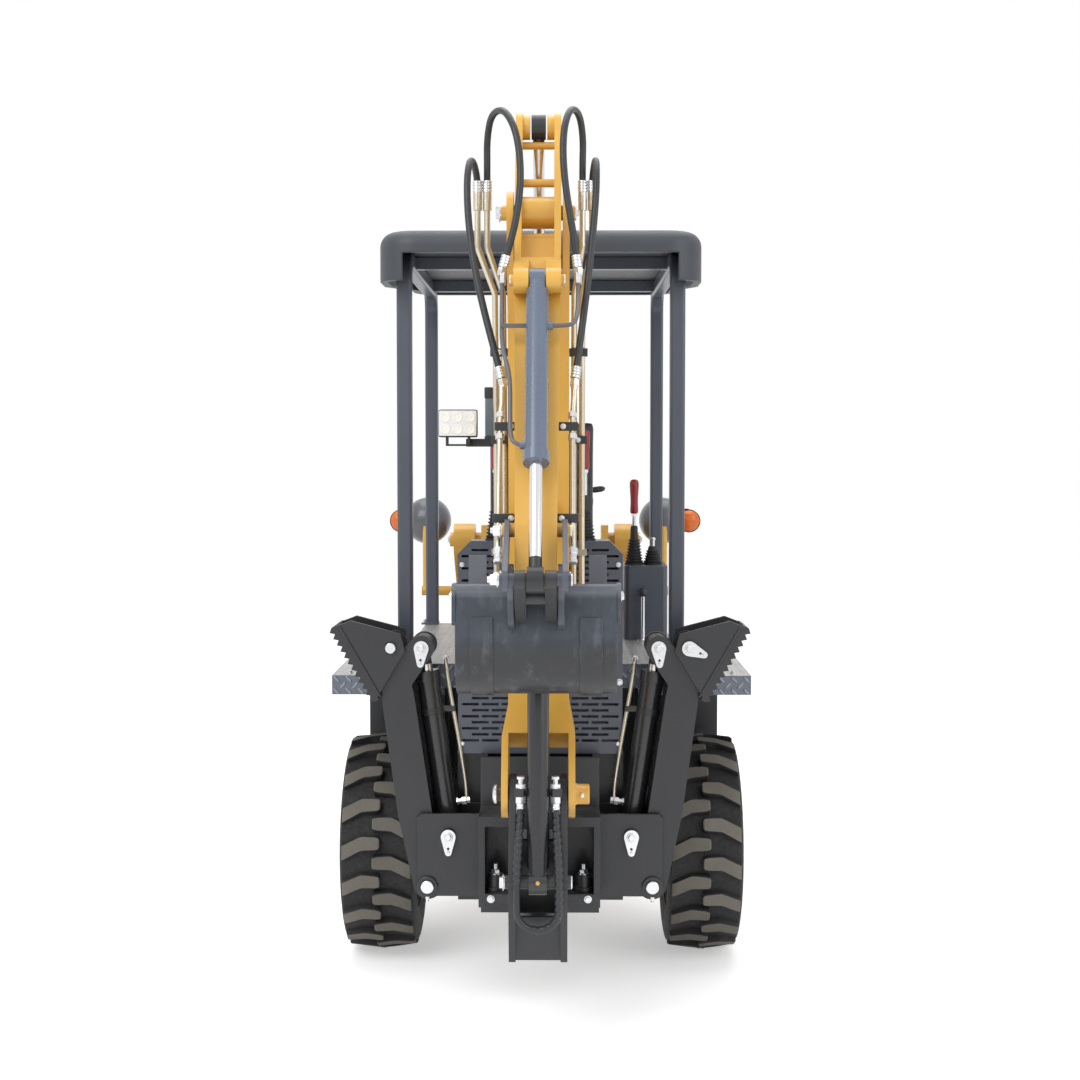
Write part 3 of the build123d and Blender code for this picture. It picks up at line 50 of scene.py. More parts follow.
REAR_AXLE_Y = -479.0
UP, DOWN, AHEAD, REAR = (0, 0, 1), (0, 0, -1), (0, 1, 0), (0, -1, 0)
SIDES = (-1, 1)
SIDE_NAMES = ((-1, "left"), (1, "right"))
mat = {}  # each material by its name


def P(x, ahead, z):
    """A point in millimetres, (x, ahead of the rear axle, height), as metres in the row frame."""
    return Vector((x / 1000, (ahead + REAR_AXLE_Y) / 1000, z / 1000))


def linear(red, green, blue):
    """A colour given as 0 to 255 as the eye reads it, as linear light."""
    out = []
    for value in (red, green, blue):
        share = value / 255
        out.append(share / 12.92 if share <= 0.04045 else ((share + 0.055) / 1.055) ** 2.4)
    return (*out, 1.0)


def shade(colour, share):
    """A colour made lighter or darker."""
    return (*[min(1.0, c * share) for c in colour[:3]], 1.0)


# Materials


class Net:
    """A new material's node tree, with short calls for its nodes."""

    def __init__(self, name):
        mat[name] = bpy.data.materials.new(name)
        mat[name].use_nodes = True
        self.tree = mat[name].node_tree
        self.shader = self.tree.nodes["Principled BSDF"]
        self.coord = self.tree.nodes.new("ShaderNodeTexCoord").outputs

    def fill(self, node, values):
        """Put a value, or a link from another node, into each named socket."""
        for key, value in values.items():
            if isinstance(value, bpy.types.NodeSocket):
                self.tree.links.new(value, node.inputs[key])
            else:
                node.inputs[key].default_value = value

    def node(self, kind, values, out, **settings):
        """The named output of a new node."""
        made = self.tree.nodes.new("ShaderNode" + kind)
        for key, value in settings.items():
            setattr(made, key, value)
        self.fill(made, values)
        return made.outputs[out]

    def noise(self, scale, detail=4.0, rough=0.55, stretch=None):
        place = self.coord["Object"]
        if stretch:
            place = self.node("Mapping", {"Vector": place, "Scale": stretch}, "Vector")
        values = {"Vector": place, "Scale": scale, "Detail": detail, "Roughness": rough}
        return self.node("TexNoise", values, "Fac")

    def span(self, value, low, high, to_low=0.0, to_high=1.0):
        ends = {"From Min": low, "From Max": high, "To Min": to_low, "To Max": to_high}
        return self.node("MapRange", {"Value": value, **ends}, "Result")

    def math(self, what, a, b=0.0):
        return self.node("Math", {0: a, 1: b}, 0, operation=what)

    def times(self, a, b):
        return self.math("MULTIPLY", a, b)

    def minus(self, a, b):
        return self.math("SUBTRACT", a, b)

    def vector(self, what, a, b):
        return self.node("VectorMath", {0: a, 1: b}, "Value", operation=what)

    def mix(self, share, a, b):
        return self.node("Mix", {"Factor": share, "A": a, "B": b}, "Result", data_type="RGBA")

    def split(self, vector):
        node = self.tree.nodes.new("ShaderNodeSeparateXYZ")
        self.fill(node, {0: vector})
        return [node.outputs[axis] for axis in "XYZ"]

    def rounded(self, radius):
        return self.node("Bevel", {"Radius": radius}, "Normal", samples=4)

    def bump(self, height, depth, strength=1.0, normal=None):
        values = {"Strength": strength, "Distance": depth, "Height": height}
        if normal is not None:
            values["Normal"] = normal
        return self.node("Bump", values, "Normal")

    def pick(self, share, a, b):
        """The first value where the share is 1, the second where it is 0."""
        return self.math("ADD", self.times(share, a), self.times(self.minus(1.0, share), b))

    def tones(self, value, colour, low, high):
        """A colour that a noise makes darker and lighter."""
        return self.mix(self.span(value, 0.3, 0.7), shade(colour, low), shade(colour, high))

    def chips(self, normal, low, high, most):
        """How much paint the rounded edges have lost, in patches."""
        geometry = self.tree.nodes.new("ShaderNodeNewGeometry").outputs
        bend = self.minus(1.0, self.vector("DOT_PRODUCT", normal, geometry["Normal"]))
        patches = self.span(self.noise(40.0, 6.0, 0.7), low, high)
        return self.times(self.times(self.span(bend, 0.02, 0.2), patches), most)


def finish(name, colour, rough, metal=0.0, vary=0.08, grain=350.0, depth=0.0002, edge=0.003, worn=None,
        coat=0.0, dust=None, streak=None):
    """A solid finish with colour clouds, uneven gloss, a fine grain, rounded edges and worn edges."""
    net = Net(name)
    tone = net.tones(net.noise(5.0, 6.0), colour, 1 - vary, 1 + vary)
    fine = net.noise(90.0, 3.0, 0.6, streak)
    if dust:
        up = net.split(net.coord["Normal"])[2]
        lies = net.times(net.span(up, 0.3, 1.0), net.span(net.noise(14.0, 8.0, 0.7), 0.42, 0.75))
        tone = net.mix(net.times(lies, dust[1]), tone, dust[0])
    normal = net.rounded(edge) if edge else None
    if edge and worn:
        tone = net.mix(net.chips(normal, 0.42, 0.62, worn[1]), tone, worn[0])
    net.fill(net.shader, {
        "Base Color": tone,
        "Metallic": metal,
        "Roughness": net.span(fine, 0.3, 0.7, rough * 0.85, min(1.0, rough * 1.18)),
        "Normal": net.bump(net.noise(grain, 2.0), depth, 0.6, normal),
    })
    if coat:
        net.fill(net.shader, {"Coat Weight": coat, "Coat Roughness": 0.12})


def chequer(name, painted_below=None):
    """Bright plate with raised lozenges that point two ways, darker and bluish on its upright faces as
    painted shade; below a height it may be painted black.
    """
    net = Net(name)
    x, y, z = net.split(net.coord["Object"])
    facing = [net.math("ABSOLUTE", share) for share in net.split(net.coord["Normal"])]
    level = [net.math("GREATER_THAN", share, 0.5) for share in facing]
    u = net.pick(level[0], y, x)
    v = net.pick(level[2], y, z)
    a = net.math("DIVIDE", net.math("ADD", u, v), CHEQUER_PITCH * 1.414)
    b = net.math("DIVIDE", net.minus(u, v), CHEQUER_PITCH * 1.414)
    odd = net.math("FLOORED_MODULO", net.math("ADD", net.math("FLOOR", a), net.math("FLOOR", b)), 2.0)
    f = net.minus(net.math("FRACT", a), 0.5)
    g = net.minus(net.math("FRACT", b), 0.5)
    along = net.math("POWER", net.math("DIVIDE", net.pick(odd, f, g), 0.47), 2.0)
    across = net.math("POWER", net.math("DIVIDE", net.pick(odd, g, f), 0.17), 2.0)
    raised = net.span(net.math("ADD", along, across), 1.15, 0.55)
    cloud = net.noise(9.0, 6.0)
    flat = net.mix(raised, net.tones(cloud, BRIGHT_PLATE, 0.62, 0.85), shade(BRIGHT_PLATE, 1.12))
    # painted shade: upright faces take the darker, bluish plate colour, level faces the bright one
    tone = net.mix(level[2], net.mix(raised, UPRIGHT_PLATE_SHADE, shade(UPRIGHT_PLATE_SHADE, 1.7)), flat)
    metal = 0.85
    if painted_below:
        bare = net.math("GREATER_THAN", z, painted_below)
        tone = net.mix(bare, net.tones(cloud, BLACK, 0.9, 1.15), tone)
        raised = net.times(raised, bare)
        metal = net.times(bare, metal)
    net.fill(net.shader, {
        "Base Color": tone,
        "Metallic": metal,
        "Roughness": net.span(net.noise(60.0, 4.0), 0.3, 0.7, 0.3, 0.5),
        "Normal": net.bump(raised, 0.0018, 1.0, net.rounded(0.002)),
    })


def ram_rod(name, eyes, reach):
    """A polished rod whose eye, near the given points, is painted black."""
    net = Net(name)
    near = None
    for eye in eyes:
        gap = net.vector("DISTANCE", net.coord["Object"], tuple(eye))
        near = gap if near is None else net.math("MINIMUM", near, gap)
    eye_share = net.math("LESS_THAN", near, reach)
    bright = net.tones(net.noise(160.0, 3.0, 0.6, (8, 8, 0.4)), CHROME, 0.93, 1.03)
    net.fill(net.shader, {
        "Base Color": net.mix(eye_share, bright, BLACK),
        "Metallic": net.minus(1.0, eye_share),
        "Roughness": net.span(eye_share, 0.0, 1.0, 0.14, 0.4),
        "Normal": net.rounded(0.002),
    })


def scraped_paint_with_painted_light(name, upper, painted_shade_below, bare, turn_z, painted_highlight_z):
    """A digging bucket's paint: scuffed above its bend, with painted shade below it and a painted highlight
    in the bare colour along its top tube.
    """
    net = Net(name)
    z = net.split(net.coord["Object"])[2]
    cloud = net.noise(9.0, 7.0, 0.65)
    scuffs = net.span(net.noise(26.0, 8.0, 0.7, (1.0, 1.0, 0.22)), 0.5, 0.72)
    scuffed = net.mix(net.span(cloud, 0.34, 0.66), shade(upper, 0.72), shade(upper, 1.3))
    # painted shade: a darker colour below the bend
    tone = net.mix(net.span(z, turn_z - 0.05, turn_z + 0.012), painted_shade_below, scuffed)
    tone = net.mix(net.times(net.times(scuffs, net.span(cloud, 0.42, 0.62)), 0.55), tone, bare)
    # painted highlight: the bare colour along the top tube
    tone = net.mix(net.times(net.span(z, painted_highlight_z - 0.004, painted_highlight_z + 0.008), 0.45), tone, bare)
    normal = net.rounded(0.003)
    net.fill(net.shader, {
        "Base Color": net.mix(net.chips(normal, 0.4, 0.6, 0.8), tone, bare),
        "Roughness": net.span(scuffs, 0.0, 1.0, 0.36, 0.55),
        "Normal": net.bump(net.noise(220.0, 3.0), 0.0003, 0.5, normal),
    })


YELLOW = linear(216, 167, 72)
BLACK = linear(38, 39, 42)
CHROME = linear(222, 223, 226)
# painted shade: the darker, bluish colour of the chequer plate's upright faces
UPRIGHT_PLATE_SHADE = linear(104, 109, 118)
BRIGHT_PLATE = linear(198, 197, 195)
CHEQUER_PITCH = 0.03
BARE = (linear(150, 148, 145), 0.5)
SOIL = (linear(128, 120, 108), 0.35)
finish("yellow_paint", YELLOW, 0.34, vary=0.05, coat=0.25, worn=(linear(236, 190, 100), 0.5))
finish("black_paint", BLACK, 0.4, vary=0.1, coat=0.1, worn=(linear(96, 96, 98), 0.6), dust=SOIL)
# hoe bucket: painted shade below its bend at 1.298 and a painted highlight along its top tube at 1.41
scraped_paint_with_painted_light("hoe_paint", linear(62, 68, 78), linear(37, 38, 40), linear(126, 130, 138), 1.298, 1.41)
finish("bucket_paint", linear(58, 63, 71), 0.42, vary=0.24, worn=(linear(128, 126, 122), 0.8), dust=SOIL,
    streak=(1, 1, 0.15))
finish("barrel_paint", linear(34, 35, 38), 0.3, vary=0.06, coat=0.3, edge=0.0, depth=0.00003)
finish("blue_barrel", linear(92, 103, 122), 0.28, vary=0.05, coat=0.3, edge=0.0, depth=0.00002)
finish("pipe_grey", linear(92, 90, 92), 0.32, vary=0.06, coat=0.2, edge=0.001, depth=0.00003)
finish("lamp_shell", linear(84, 86, 92), 0.3, vary=0.05, coat=0.3, edge=0.002)
finish("post_paint", linear(74, 79, 90), 0.36, vary=0.06, coat=0.15, worn=BARE)
finish("grey_paint", linear(92, 94, 97), 0.45, vary=0.1, dust=SOIL)
finish("rim_paint", YELLOW, 0.4, vary=0.07, coat=0.2, dust=SOIL)
finish("cast_iron", linear(60, 60, 61), 0.62, vary=0.15, grain=120.0, depth=0.0008, dust=SOIL)
chequer("tread_plate")
chequer("fender_plate", painted_below=0.965)
finish("roof_plastic", linear(58, 62, 68), 0.48, vary=0.05, grain=900.0, depth=0.00025, edge=0.006)
finish("dark_plastic", linear(46, 47, 50), 0.5, vary=0.06, grain=800.0, depth=0.0003)
finish("rubber", linear(34, 34, 35), 0.62, vary=0.08, grain=500.0, depth=0.0002, edge=0.001)
finish("red_plastic", linear(146, 34, 38), 0.36, vary=0.08, grain=700.0, depth=0.0002, edge=0.002)
finish("seat_vinyl", linear(40, 40, 42), 0.5, vary=0.07, grain=450.0, depth=0.0006, edge=0.0)
finish("amber_lens", linear(226, 110, 26), 0.16, vary=0.06, grain=60.0, depth=0.0006, edge=0.002)
finish("chrome", CHROME, 0.14, metal=1.0, vary=0.02, depth=0.00005, edge=0.001)
finish("zinc", linear(198, 190, 172), 0.3, metal=0.9, vary=0.06, depth=0.0001, edge=0.001)
finish("silver_zinc", linear(212, 213, 215), 0.28, metal=0.9, vary=0.04, depth=0.0001, edge=0.001)
finish("brass", linear(196, 160, 88), 0.3, metal=0.9, vary=0.08, depth=0.0001, edge=0.001)
finish("tyre", linear(33, 33, 34), 0.72, vary=0.12, grain=240.0, depth=0.0006, edge=0.0)
finish("tyre_tread", linear(112, 108, 100), 0.85, vary=0.16, grain=200.0, depth=0.0012, edge=0.0)
finish("hose", linear(36, 38, 42), 0.42, vary=0.08, grain=600.0, depth=0.0003, edge=0.0)
finish("lamp_glass", linear(228, 230, 232), 0.1, vary=0.03, grain=80.0, depth=0.0004, edge=0.0, coat=0.6)
finish("lamp_cell", linear(240, 240, 234), 0.2, vary=0.03, grain=80.0, depth=0.0003, edge=0.0)
finish("blue_grey", linear(104, 116, 124), 0.42, vary=0.05)


# Mesh helpers


def mm(*pairs):
    """Pairs of millimetres as pairs of metres."""
    return [(a / 1000, b / 1000) for a, b in pairs]


def axes_for(direction):
    """Two directions square to this one, and this one."""
    along = Vector(direction).normalized()
    start = Vector((0, 0, 1)) if abs(along.z) < 0.9 else Vector((1, 0, 0))
    across = along.cross(start).normalized()
    return across, along.cross(across).normalized(), along


def lathe(mesh, origin, direction, profile, steps=24, material=0, closed=False):
    """Turn a profile of (distance along, radius), in metres, round a line; a closed one makes a ring."""
    across, up, along = axes_for(direction)
    rings = []
    for reach, radius in profile:
        centre = origin + along * reach
        if radius < 1e-6:
            rings.append([mesh.verts.new(centre)])
            continue
        ring = []
        for step in range(steps):
            turn = 2 * math.pi * step / steps
            ring.append(mesh.verts.new(centre + (across * math.cos(turn) + up * math.sin(turn)) * radius))
        rings.append(ring)
    for first, second in zip(rings, rings[1:] + (rings[:1] if closed else [])):
        for step in range(steps):
            after = (step + 1) % steps
            if len(first) == 1 and len(second) == 1:
                continue
            if len(first) == 1:
                corners = (first[0], second[after], second[step])
            elif len(second) == 1:
                corners = (first[step], first[after], second[0])
            else:
                corners = (first[step], first[after], second[after], second[step])
            mesh.faces.new(corners).material_index = material
    if closed:
        return
    for ring in (rings[0][::-1], rings[-1]):
        if len(ring) > 1:
            mesh.faces.new(ring).material_index = material


def tube(mesh, points, radius, steps=12, material=0):
    """A tube along close points; its radius is a number, or is worked out from the way gone and the turn."""
    gone = 0.0
    along = [(b - a).normalized() for a, b in zip(points, points[1:])]
    across = axes_for(along[0])[0]
    rings = []
    for index, point in enumerate(points):
        before = along[max(index - 1, 0)]
        after = along[min(index, len(along) - 1)]
        tangent = (before + after).normalized()
        across = (across - tangent * across.dot(tangent)).normalized()
        up = tangent.cross(across)
        if index:
            gone += (point - points[index - 1]).length
        ring = []
        for step in range(steps):
            turn = 2 * math.pi * step / steps
            reach = radius(gone, turn) if callable(radius) else radius
            ring.append(mesh.verts.new(point + (across * math.cos(turn) + up * math.sin(turn)) * reach))
        rings.append(ring)
    for first, second in zip(rings, rings[1:]):
        for step in range(steps):
            after = (step + 1) % steps
            corners = (first[step], first[after], second[after], second[step])
            mesh.faces.new(corners).material_index = material
    for ring in (rings[0][::-1], rings[-1]):
        mesh.faces.new(ring).material_index = material


def prism(mesh, outline, origin, across, up, depth):
    """A flat outline of (across, up) points in metres, given a thickness."""
    across, up = Vector(across), Vector(up)
    out = across.cross(up).normalized() * depth
    base = [mesh.verts.new(origin + across * a + up * b) for a, b in outline]
    top = [mesh.verts.new(vert.co + out) for vert in base]
    mesh.faces.new(base[::-1])
    mesh.faces.new(top)
    for index in range(len(base)):
        after = (index + 1) % len(base)
        mesh.faces.new((base[index], base[after], top[after], top[index]))


def cross_plate(mesh, outline, left, wide):
    """A plate across the machine: its outline of (ahead, height), its left side and width, in mm."""
    points = [((ahead + REAR_AXLE_Y) / 1000, z / 1000) for ahead, z in outline]
    prism(mesh, points, Vector((left / 1000, 0, 0)), AHEAD, UP, wide / 1000)


def block(mesh, low, high, radius=0.003, material=0):
    """A block between two corners with rounded edges."""
    made = bmesh.new()
    bmesh.ops.create_cube(made, size=1.0)
    centre = (low + high) / 2
    size = high - low
    for vert in made.verts:
        vert.co = [middle + at * wide for middle, at, wide in zip(centre, vert.co, size)]
    bmesh.ops.bevel(made, geom=list(made.edges), offset=radius, segments=2, affect="EDGES", profile=0.7)
    copy = {vert: mesh.verts.new(vert.co) for vert in made.verts}
    for face in made.faces:
        mesh.faces.new([copy[vert] for vert in face.verts]).material_index = material
    made.free()


def piece(name, mesh, materials, body, replaced=(), angle=35.0):
    """Turn a mesh into an object with its slot; it rides on the body, if one is named."""
    bmesh.ops.recalc_face_normals(mesh, faces=list(mesh.faces))
    data = bpy.data.meshes.new(name)
    mesh.to_mesh(data)
    mesh.free()
    for key in materials:
        data.materials.append(mat[key])
    data.polygons.foreach_set("use_smooth", [True] * len(data.polygons))
    data.set_sharp_from_angle(angle=math.radians(angle))
    made = bpy.data.objects.new(name, data)
    scene.collection.objects.link(made)
    if body:
        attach(made, body)
    if replaced:
        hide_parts(*replaced)
    return made


def smooth_line(points, steps=10):
    """Points along the smooth line that a route's control points make."""
    curve = bpy.data.curves.new("route", "CURVE")
    curve.dimensions = "3D"
    curve.resolution_u = steps
    spline = curve.splines.new("NURBS")
    spline.points.add(len(points) - 1)
    for control, point in zip(spline.points, points):
        control.co = (*point, 1.0)
    spline.order_u = 3
    spline.use_endpoint_u = True
    holder = bpy.data.objects.new("route", curve)
    line = bpy.data.meshes.new_from_object(holder)
    found = [vert.co.copy() for vert in line.vertices]
    bpy.data.objects.remove(holder)
    bpy.data.curves.remove(curve)
    bpy.data.meshes.remove(line)
    return found


def ferrule(mesh, end, direction, hose_r, nut=0.026, sleeve=0.034):
    """A crimped sleeve on a hose's end with its hexagon nut, out along the hose's own line."""
    wide = hose_r + 0.003
    profile = [(-sleeve, hose_r), (-sleeve, wide)]
    rings = 4
    for ring in range(rings):
        start = -sleeve + sleeve * (ring + 0.25) / rings
        profile += [(start, wide + 0.0012), (start + sleeve * 0.4 / rings, wide + 0.0012),
            (start + sleeve * 0.5 / rings, wide - 0.0006)]
    profile += [(0.0, wide), (0.0, hose_r * 0.8)]
    lathe(mesh, end, direction, profile, 20)
    wide = hose_r + 0.0035
    lathe(mesh, end, direction, [(0.0, 0.008), (0.002, wide), (nut * 0.75, wide), (nut, hose_r * 0.9)], 6)


def bolt(mesh, origin, direction, size=0.012, high=0.009, washer=True, material=0):
    """A hexagon head on its washer."""
    along = Vector(direction).normalized()
    if washer:
        lathe(mesh, origin, along, [(-0.001, size * 1.35), (0.0018, size * 1.35), (0.0024, size * 1.28)],
            20, material)
    lathe(mesh, origin + along * 0.0018, along, [(0.0, size), (high * 0.82, size), (high, size * 0.86)],
        6, material)


# Camera and light

PHOTO_PX = 1080
FOCAL_PX = 1750.0
SENSOR_MM = 36.0
EYE = Vector((0.06, REAR_AXLE_Y / 1000 - 6.3, 1.8))
VANISH = (559.0, 450.0)
camera_data = bpy.data.cameras.new("camera")
camera_data.sensor_width = SENSOR_MM
camera_data.lens = FOCAL_PX / PHOTO_PX * SENSOR_MM
camera = bpy.data.objects.new("camera", camera_data)
scene.collection.objects.link(camera)
yaw = math.atan((VANISH[0] - PHOTO_PX / 2) / FOCAL_PX)
pitch = math.atan((PHOTO_PX / 2 - VANISH[1]) / FOCAL_PX)
camera.location = EYE
camera.rotation_euler = (math.radians(90) - pitch, 0.0, yaw)
scene.camera = camera

WORLD_FILL = 0.62
FLOOR_GLOW = 0.42
FLOOR_R = 60.0


def seen_rays(tree):
    """1 for what the camera, a mirror or glass sees, and 0 for the light that falls on the object."""
    rays = tree.nodes.new("ShaderNodeLightPath").outputs
    seen = rays["Is Camera Ray"]
    for other in ("Is Transmission Ray", "Is Glossy Ray"):
        node = tree.nodes.new("ShaderNodeMath")
        node.operation = "MAXIMUM"
        tree.links.new(seen, node.inputs[0])
        tree.links.new(rays[other], node.inputs[1])
        seen = node.outputs[0]
    return seen


world = bpy.data.worlds.new("world")
scene.world = world
world.use_nodes = True
tree = world.node_tree
background = tree.nodes["Background"]
level = tree.nodes.new("ShaderNodeMapRange")
level.inputs["To Min"].default_value = WORLD_FILL
level.inputs["To Max"].default_value = 1.0
tree.links.new(seen_rays(tree), level.inputs["Value"])
tree.links.new(level.outputs["Result"], background.inputs["Strength"])
background.inputs["Color"].default_value = (1.0, 1.0, 1.0, 1.0)

LAMPS = [
    ("key", (-4.0, -6.5, 6.5), 5.0, 330.0),
    ("fill", (5.0, -5.0, 4.0), 4.0, 120.0),
    ("top", (0.0, 0.5, 7.0), 6.0, 240.0),
]
for lamp_name, place, wide, power in LAMPS:
    lamp_data = bpy.data.lights.new(lamp_name, "AREA")
    lamp_data.size = wide
    lamp_data.energy = power
    lamp = bpy.data.objects.new(lamp_name, lamp_data)
    scene.collection.objects.link(lamp)
    lamp.location = place
    lamp.rotation_euler = (Vector((0, -0.8, 1.0)) - Vector(place)).to_track_quat("-Z", "Y").to_euler()

floor_mesh = bmesh.new()
lathe(floor_mesh, Vector((0, 0, -0.02)), UP, [(0.0, FLOOR_R), (0.0185, FLOOR_R)], 96)
floor_data = bpy.data.meshes.new("floor")
floor_mesh.to_mesh(floor_data)
floor_mesh.free()
floor_net = Net("floor_pale")
floor_net.fill(floor_net.shader, {
    "Base Color": (0.93, 0.93, 0.93, 1.0),
    "Roughness": 0.9,
    "Specular IOR Level": 0.1,
    "Emission Color": (1.0, 1.0, 1.0, 1.0),
    "Emission Strength": floor_net.times(seen_rays(floor_net.tree), FLOOR_GLOW),
})
floor_data.materials.append(mat["floor_pale"])
floor = bpy.data.objects.new("floor", floor_data)
scene.collection.objects.link(floor)

# Finishes of the CAD's own pieces

ROD_EYES = {
    "hoe_rod": [P(0, -1895, 1473)],
    "boom_rod": [P(0, -1152, 1600)],
    "stick_rod": [P(0, -1110, 2745)],
    "lift_rods": [P(side * 340, 1400, 1090) for side in SIDES],
    "tilt_rods": [P(side * 225, 2190, 475) for side in SIDES],
    "leg_rods": [P(side * 375, -725, 1174) for side in SIDES],
}
for rod_name, rod_eyes in ROD_EYES.items():
    ram_rod(rod_name, rod_eyes, 0.066 if rod_name == "lift_rods" else 0.062)

FINISH_OF = {
    "yellow_paint": "boom stick front_chassis lift_arms lamp_brackets",
    "rim_paint": "front_left_rim front_right_rim rear_left_rim rear_right_rim",
    "black_paint": "rear_chassis side_covers backhoe_frame left_leg right_leg left_foot right_foot"
                   " swing_post bucket_link loader_bucket seat_pedestal",
    "hoe_paint": "hoe_bucket",
    "blue_barrel": "hoe_barrel",
    "barrel_paint": "boom_barrel stick_barrel left_leg_barrel right_leg_barrel lift_barrels tilt_barrels",
    "hoe_rod": "hoe_rod",
    "boom_rod": "boom_rod",
    "stick_rod": "stick_rod",
    "lift_rods": "lift_rods",
    "tilt_rods": "tilt_rods",
    "leg_rods": "left_leg_rod right_leg_rod",
    "post_paint": "canopy_posts consoles control_tower rocker_link",
    "cast_iron": "front_axle rear_axle",
    "grey_paint": "engine_block",
    "tread_plate": "operator_deck",
    "fender_plate": "rear_fenders",
    "roof_plastic": "canopy_roof",
    "dark_plastic": "headlamps work_lamp steering_wheel",
    "amber_lens": "turn_lamps",
    "zinc": "boom_pipes",
    "hose": "stick_hoses boom_hoses",
    "tyre": "front_left_tyre front_right_tyre rear_left_tyre rear_right_tyre",
    "rubber": "lever_boots",
    "red_plastic": "lever_grips",
    "seat_vinyl": "seat_cushion seat_back",
}
for key, names in FINISH_OF.items():
    for name in names.split():
        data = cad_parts[name].data
        data.materials.clear()
        data.materials.append(mat[key])

# Hoses from the boom's pipes over to the stick, each on its own smooth line

HOSE_R = 0.010
OUTER_RUN = [(-1150, 2550), (-1150, 2586), (-1190, 2628), (-1250, 2630), (-1294, 2586), (-1320, 2520),
    (-1342, 2442), (-1364, 2352), (-1388, 2258), (-1414, 2164), (-1440, 2076), (-1462, 1996)]
OUTER_LEFT = (-178, -178, -186, -194, -200, -200, -195, -184, -166, -143, -119, -98)
OUTER_RIGHT = (156, 156, 162, 165, 166, 164, 158, 149, 139, 127, 115, 104)
HOSES = [
    [(-150, -1150, 2550), (-150, -1150, 2628), (-150, -1155, 2708), (-135, -1210, 2766), (-98, -1290, 2766),
     (-66, -1348, 2708), (-50, -1368, 2630), (-47, -1382, 2545), (-56, -1391, 2460), (-74, -1396, 2380),
     (-96, -1396, 2308)],
    [(x, *place) for x, place in zip(OUTER_LEFT, OUTER_RUN)],
    [(128, -1150, 2550), (128, -1150, 2628), (130, -1155, 2708), (118, -1210, 2768), (92, -1290, 2768),
     (74, -1348, 2708), (70, -1368, 2630), (76, -1382, 2545), (89, -1391, 2460), (103, -1396, 2380),
     (112, -1396, 2308)],
    [(x, *place) for x, place in zip(OUTER_RIGHT, OUTER_RUN)],
]
HOSE_LENGTHS = (0.814, 0.833, 0.804, 0.825)
INNER_BEND_END, OUTER_BEND_END = P(0, -1390, 2400), P(0, -1440, 2076)
BEND_ENDS = (INNER_BEND_END, OUTER_BEND_END, INNER_BEND_END, OUTER_BEND_END)
for number, (route, length, bend_end) in enumerate(zip(HOSES, HOSE_LENGTHS, BEND_ENDS), 1):
    line = smooth_line([P(*point) for point in route])
    hose_mesh = bmesh.new()
    tube(hose_mesh, line, HOSE_R, 14)
    hose = piece(f"stick_hose_{number}", hose_mesh, ["hose"], None, ["stick_hoses"])
    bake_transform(hose)
    for end, body, tip, inner in (("top", "boom", line[0], line[2]),
            ("end", "stick", line[-1], line[-3])):
        fitting = bmesh.new()
        ferrule(fitting, tip, tip - inner, HOSE_R)
        piece(f"hose_{end}_fitting_{number}", fitting, ["silver_zinc"], body)

# The hose loop at the swing post: in a spiral wrap, bare at its ends and in a stretch past its middle

LOOP_HALF = [(50, -1284, 800), (50, -1284, 748), (55, -1340, 672), (60, -1368, 590), (60, -1371.6, 514.5),
    (60, -1374, 465), (25, -1368, 430)]
LOOP_R, LOOP_CORE_R = 0.012, 0.0095
LOOP_LENGTH = 0.847
WRAP_PITCH = 0.021
WRAP_WIDE = 0.74  # share of the pitch that the band covers


def wrapped(gone, turn):
    """The loop's radius: a band wound round the hose, with the hose between its turns."""
    share = gone / LOOP_LENGTH
    if share < 0.045 or share > 0.955 or 0.52 < share < 0.7:
        return LOOP_CORE_R
    wave = (gone / WRAP_PITCH - turn / (2 * math.pi)) % 1.0
    edge = min(wave, WRAP_WIDE - wave) / 0.1 if wave < WRAP_WIDE else 0.0
    return LOOP_CORE_R + (LOOP_R - LOOP_CORE_R) * min(1.0, max(0.0, edge))


LOOP = LOOP_HALF + [(-x, ahead, z) for x, ahead, z in LOOP_HALF[::-1]]
line = smooth_line([P(*point) for point in LOOP], 26)
hose_mesh = bmesh.new()
tube(hose_mesh, line, wrapped, 22)
hose = piece("boom_hose_loop", hose_mesh, ["hose"], "swing_post", ["boom_hoses"], 50.0)
fitting = bmesh.new()
for end in (line[0], line[-1]):
    lathe(fitting, end, DOWN, mm((0, 8), (0, 16.5), (19, 16.5), (21, 14.5), (21, 8)), 6)
    lathe(fitting, end, DOWN, mm((20, 9), (20, 13.5), (27, 13.5), (29, 12.8), (31, 14.2), (37, 14.2),
        (39, 12.8), (41, 14.2), (50, 14.2), (52, 9)), 20)
    above = end + Vector((0, 0, 0.024))
    lathe(fitting, above, UP, mm((0, 8), (0, 16.5), (12, 16.5), (13, 8), (26, 8), (26, 12.5), (34, 12.5),
        (35, 0)), 6)
piece("loop_fittings", fitting, ["silver_zinc"], "swing_post")

# Tyres: a rounded carcass with two staggered rows of bent bars, and dished rims

